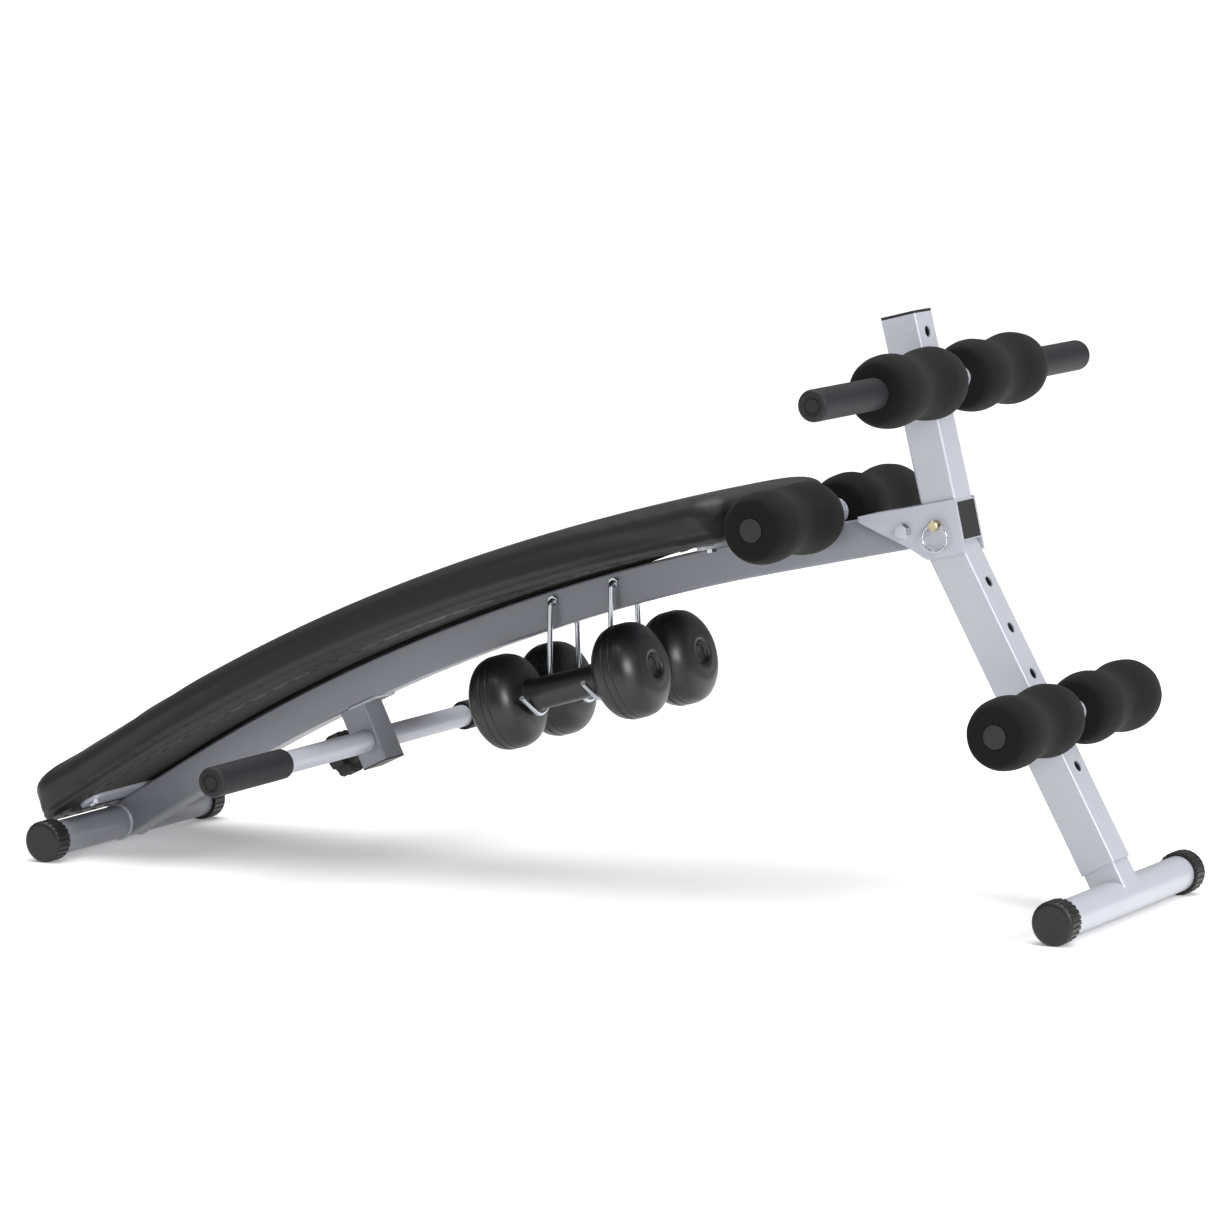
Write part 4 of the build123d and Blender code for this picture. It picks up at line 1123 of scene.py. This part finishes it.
# ------------------------------------------------------------------ stage
@dataclass(frozen=True)
class Studio:
    """Pale floor, soft lights and the camera. Metres, radians and watts."""

    ahead: float = 3.5667
    aside: float = -5.2282
    height: float = 1.0635
    heading: float = 0.5113
    dip: float = 0.1271
    roll: float = -0.0176
    lens: float = 165.6
    floor_reach: float = 60.0

    def build(self) -> None:
        """Sets up everything that isn't the bench."""
        self.camera()
        self.floor()
        self.lights()

    def camera(self) -> None:
        """Points the camera: heading from +Y towards -X, dip below the horizon, and roll."""
        a, e, p = self.heading, self.dip, self.roll
        ahead = Vector((-math.sin(a) * math.cos(e), math.cos(a) * math.cos(e), -math.sin(e)))
        right = Vector((math.cos(a), math.sin(a), 0.0))
        up = Vector((-math.sin(a) * math.sin(e), math.cos(a) * math.sin(e), math.cos(e)))
        turned_right = math.cos(p) * right + math.sin(p) * up
        turned_up = math.cos(p) * up - math.sin(p) * right
        data = bpy.data.cameras.new("camera")
        data.lens, data.sensor_width = self.lens, 36.0
        data.clip_start, data.clip_end = 0.1, 200.0
        camera = bpy.data.objects.new("camera", data)
        turned = Matrix((turned_right, turned_up, -ahead)).transposed().to_4x4()
        eye = Matrix.Translation((float(REAR_FOOT[0]) + self.ahead, self.aside, self.height))
        camera.matrix_world = eye @ turned
        bpy.context.scene.collection.objects.link(camera)
        bpy.context.scene.camera = camera

    def floor(self) -> None:
        """A wide pale floor that glows a little, so that it fills the picture with white."""
        mesh = bpy.data.meshes.new("floor")
        reach = self.floor_reach
        corners = [(-reach, -reach, 0), (reach, -reach, 0), (reach, reach, 0), (-reach, reach, 0)]
        mesh.from_pydata(corners, [], [(0, 1, 2, 3)])
        floor = bpy.data.objects.new("floor", mesh)
        bpy.context.scene.collection.objects.link(floor)
        material = bpy.data.materials.new("white_studio_floor")
        material.use_nodes = True
        shader = material.node_tree.nodes["Principled BSDF"]
        shader.inputs["Base Color"].default_value = linear("#F4F4F4")
        shader.inputs["Roughness"].default_value = 0.9
        shader.inputs["Specular IOR Level"].default_value = 0.1
        shader.inputs["Emission Color"].default_value = (1, 1, 1, 1)
        shader.inputs["Emission Strength"].default_value = 0.2
        mesh.materials.append(material)

    def lights(self) -> None:
        """An overhead softbox, a key from ahead, a weak fill, an even ceiling and a dim surround."""
        for name, place, target, size, power in (
            ("overhead", (0.2, 0.3, 3.2), (0.0, 0.0, 0.2), 3.2, 25.0),
            ("key", (3.8, -1.6, 2.0), (0.2, 0.0, 0.3), 1.6, 120.0),
            ("fill", (-2.6, -3.4, 1.4), (0.0, 0.0, 0.3), 2.2, 4.0),
        ):
            data = bpy.data.lights.new(name, "AREA")
            data.energy, data.size, data.shape = power, size, "SQUARE"
            lamp = bpy.data.objects.new(name, data)
            lamp.location = place
            lamp.rotation_mode = "QUATERNION"
            lamp.rotation_quaternion = (Vector(target) - Vector(place)).to_track_quat("-Z", "Y")
            bpy.context.scene.collection.objects.link(lamp)
        ceiling = bpy.data.lights.new("ceiling", "SUN")
        ceiling.energy, ceiling.angle = 2.4, math.radians(70)
        lamp = bpy.data.objects.new("ceiling", ceiling)
        bpy.context.scene.collection.objects.link(lamp)
        world = bpy.data.worlds.new("white_surround")
        bpy.context.scene.world = world
        world.use_nodes = True
        world.node_tree.nodes["Background"].inputs[0].default_value = (1, 1, 1, 1)
        world.node_tree.nodes["Background"].inputs[1].default_value = 0.3
        bpy.context.scene.view_settings.view_transform = "Standard"


def main() -> None:
    """Builds every piece and reports it."""
    logging.basicConfig(level=logging.INFO, format="%(message)s")
    dress_cad_nodes()
    sides = ("left", "right")
    foams = [FoamRoller(f"{place}_foam_{side}") for place in ("upper", "knee", "lower") for side in sides]
    grips = [HandGrip(f"handle_grip_{side}", "front_support") for side in sides]
    grips += [HandGrip(f"pushup_grip_{side}", "pushup_bar") for side in sides]
    dumbbells = [Dumbbell(side) for side in sides]
    cushion = Cushion()
    cushion.board_panel()
    cushion.stitches()
    for maker in (cushion, *foams, *grips, *dumbbells, *weld_beads()):
        piece = maker.build()
        LOG.info("%s: %d faces", piece.name, len(piece.data.polygons))
    Studio().build()


if __name__ == "__main__":
    main()
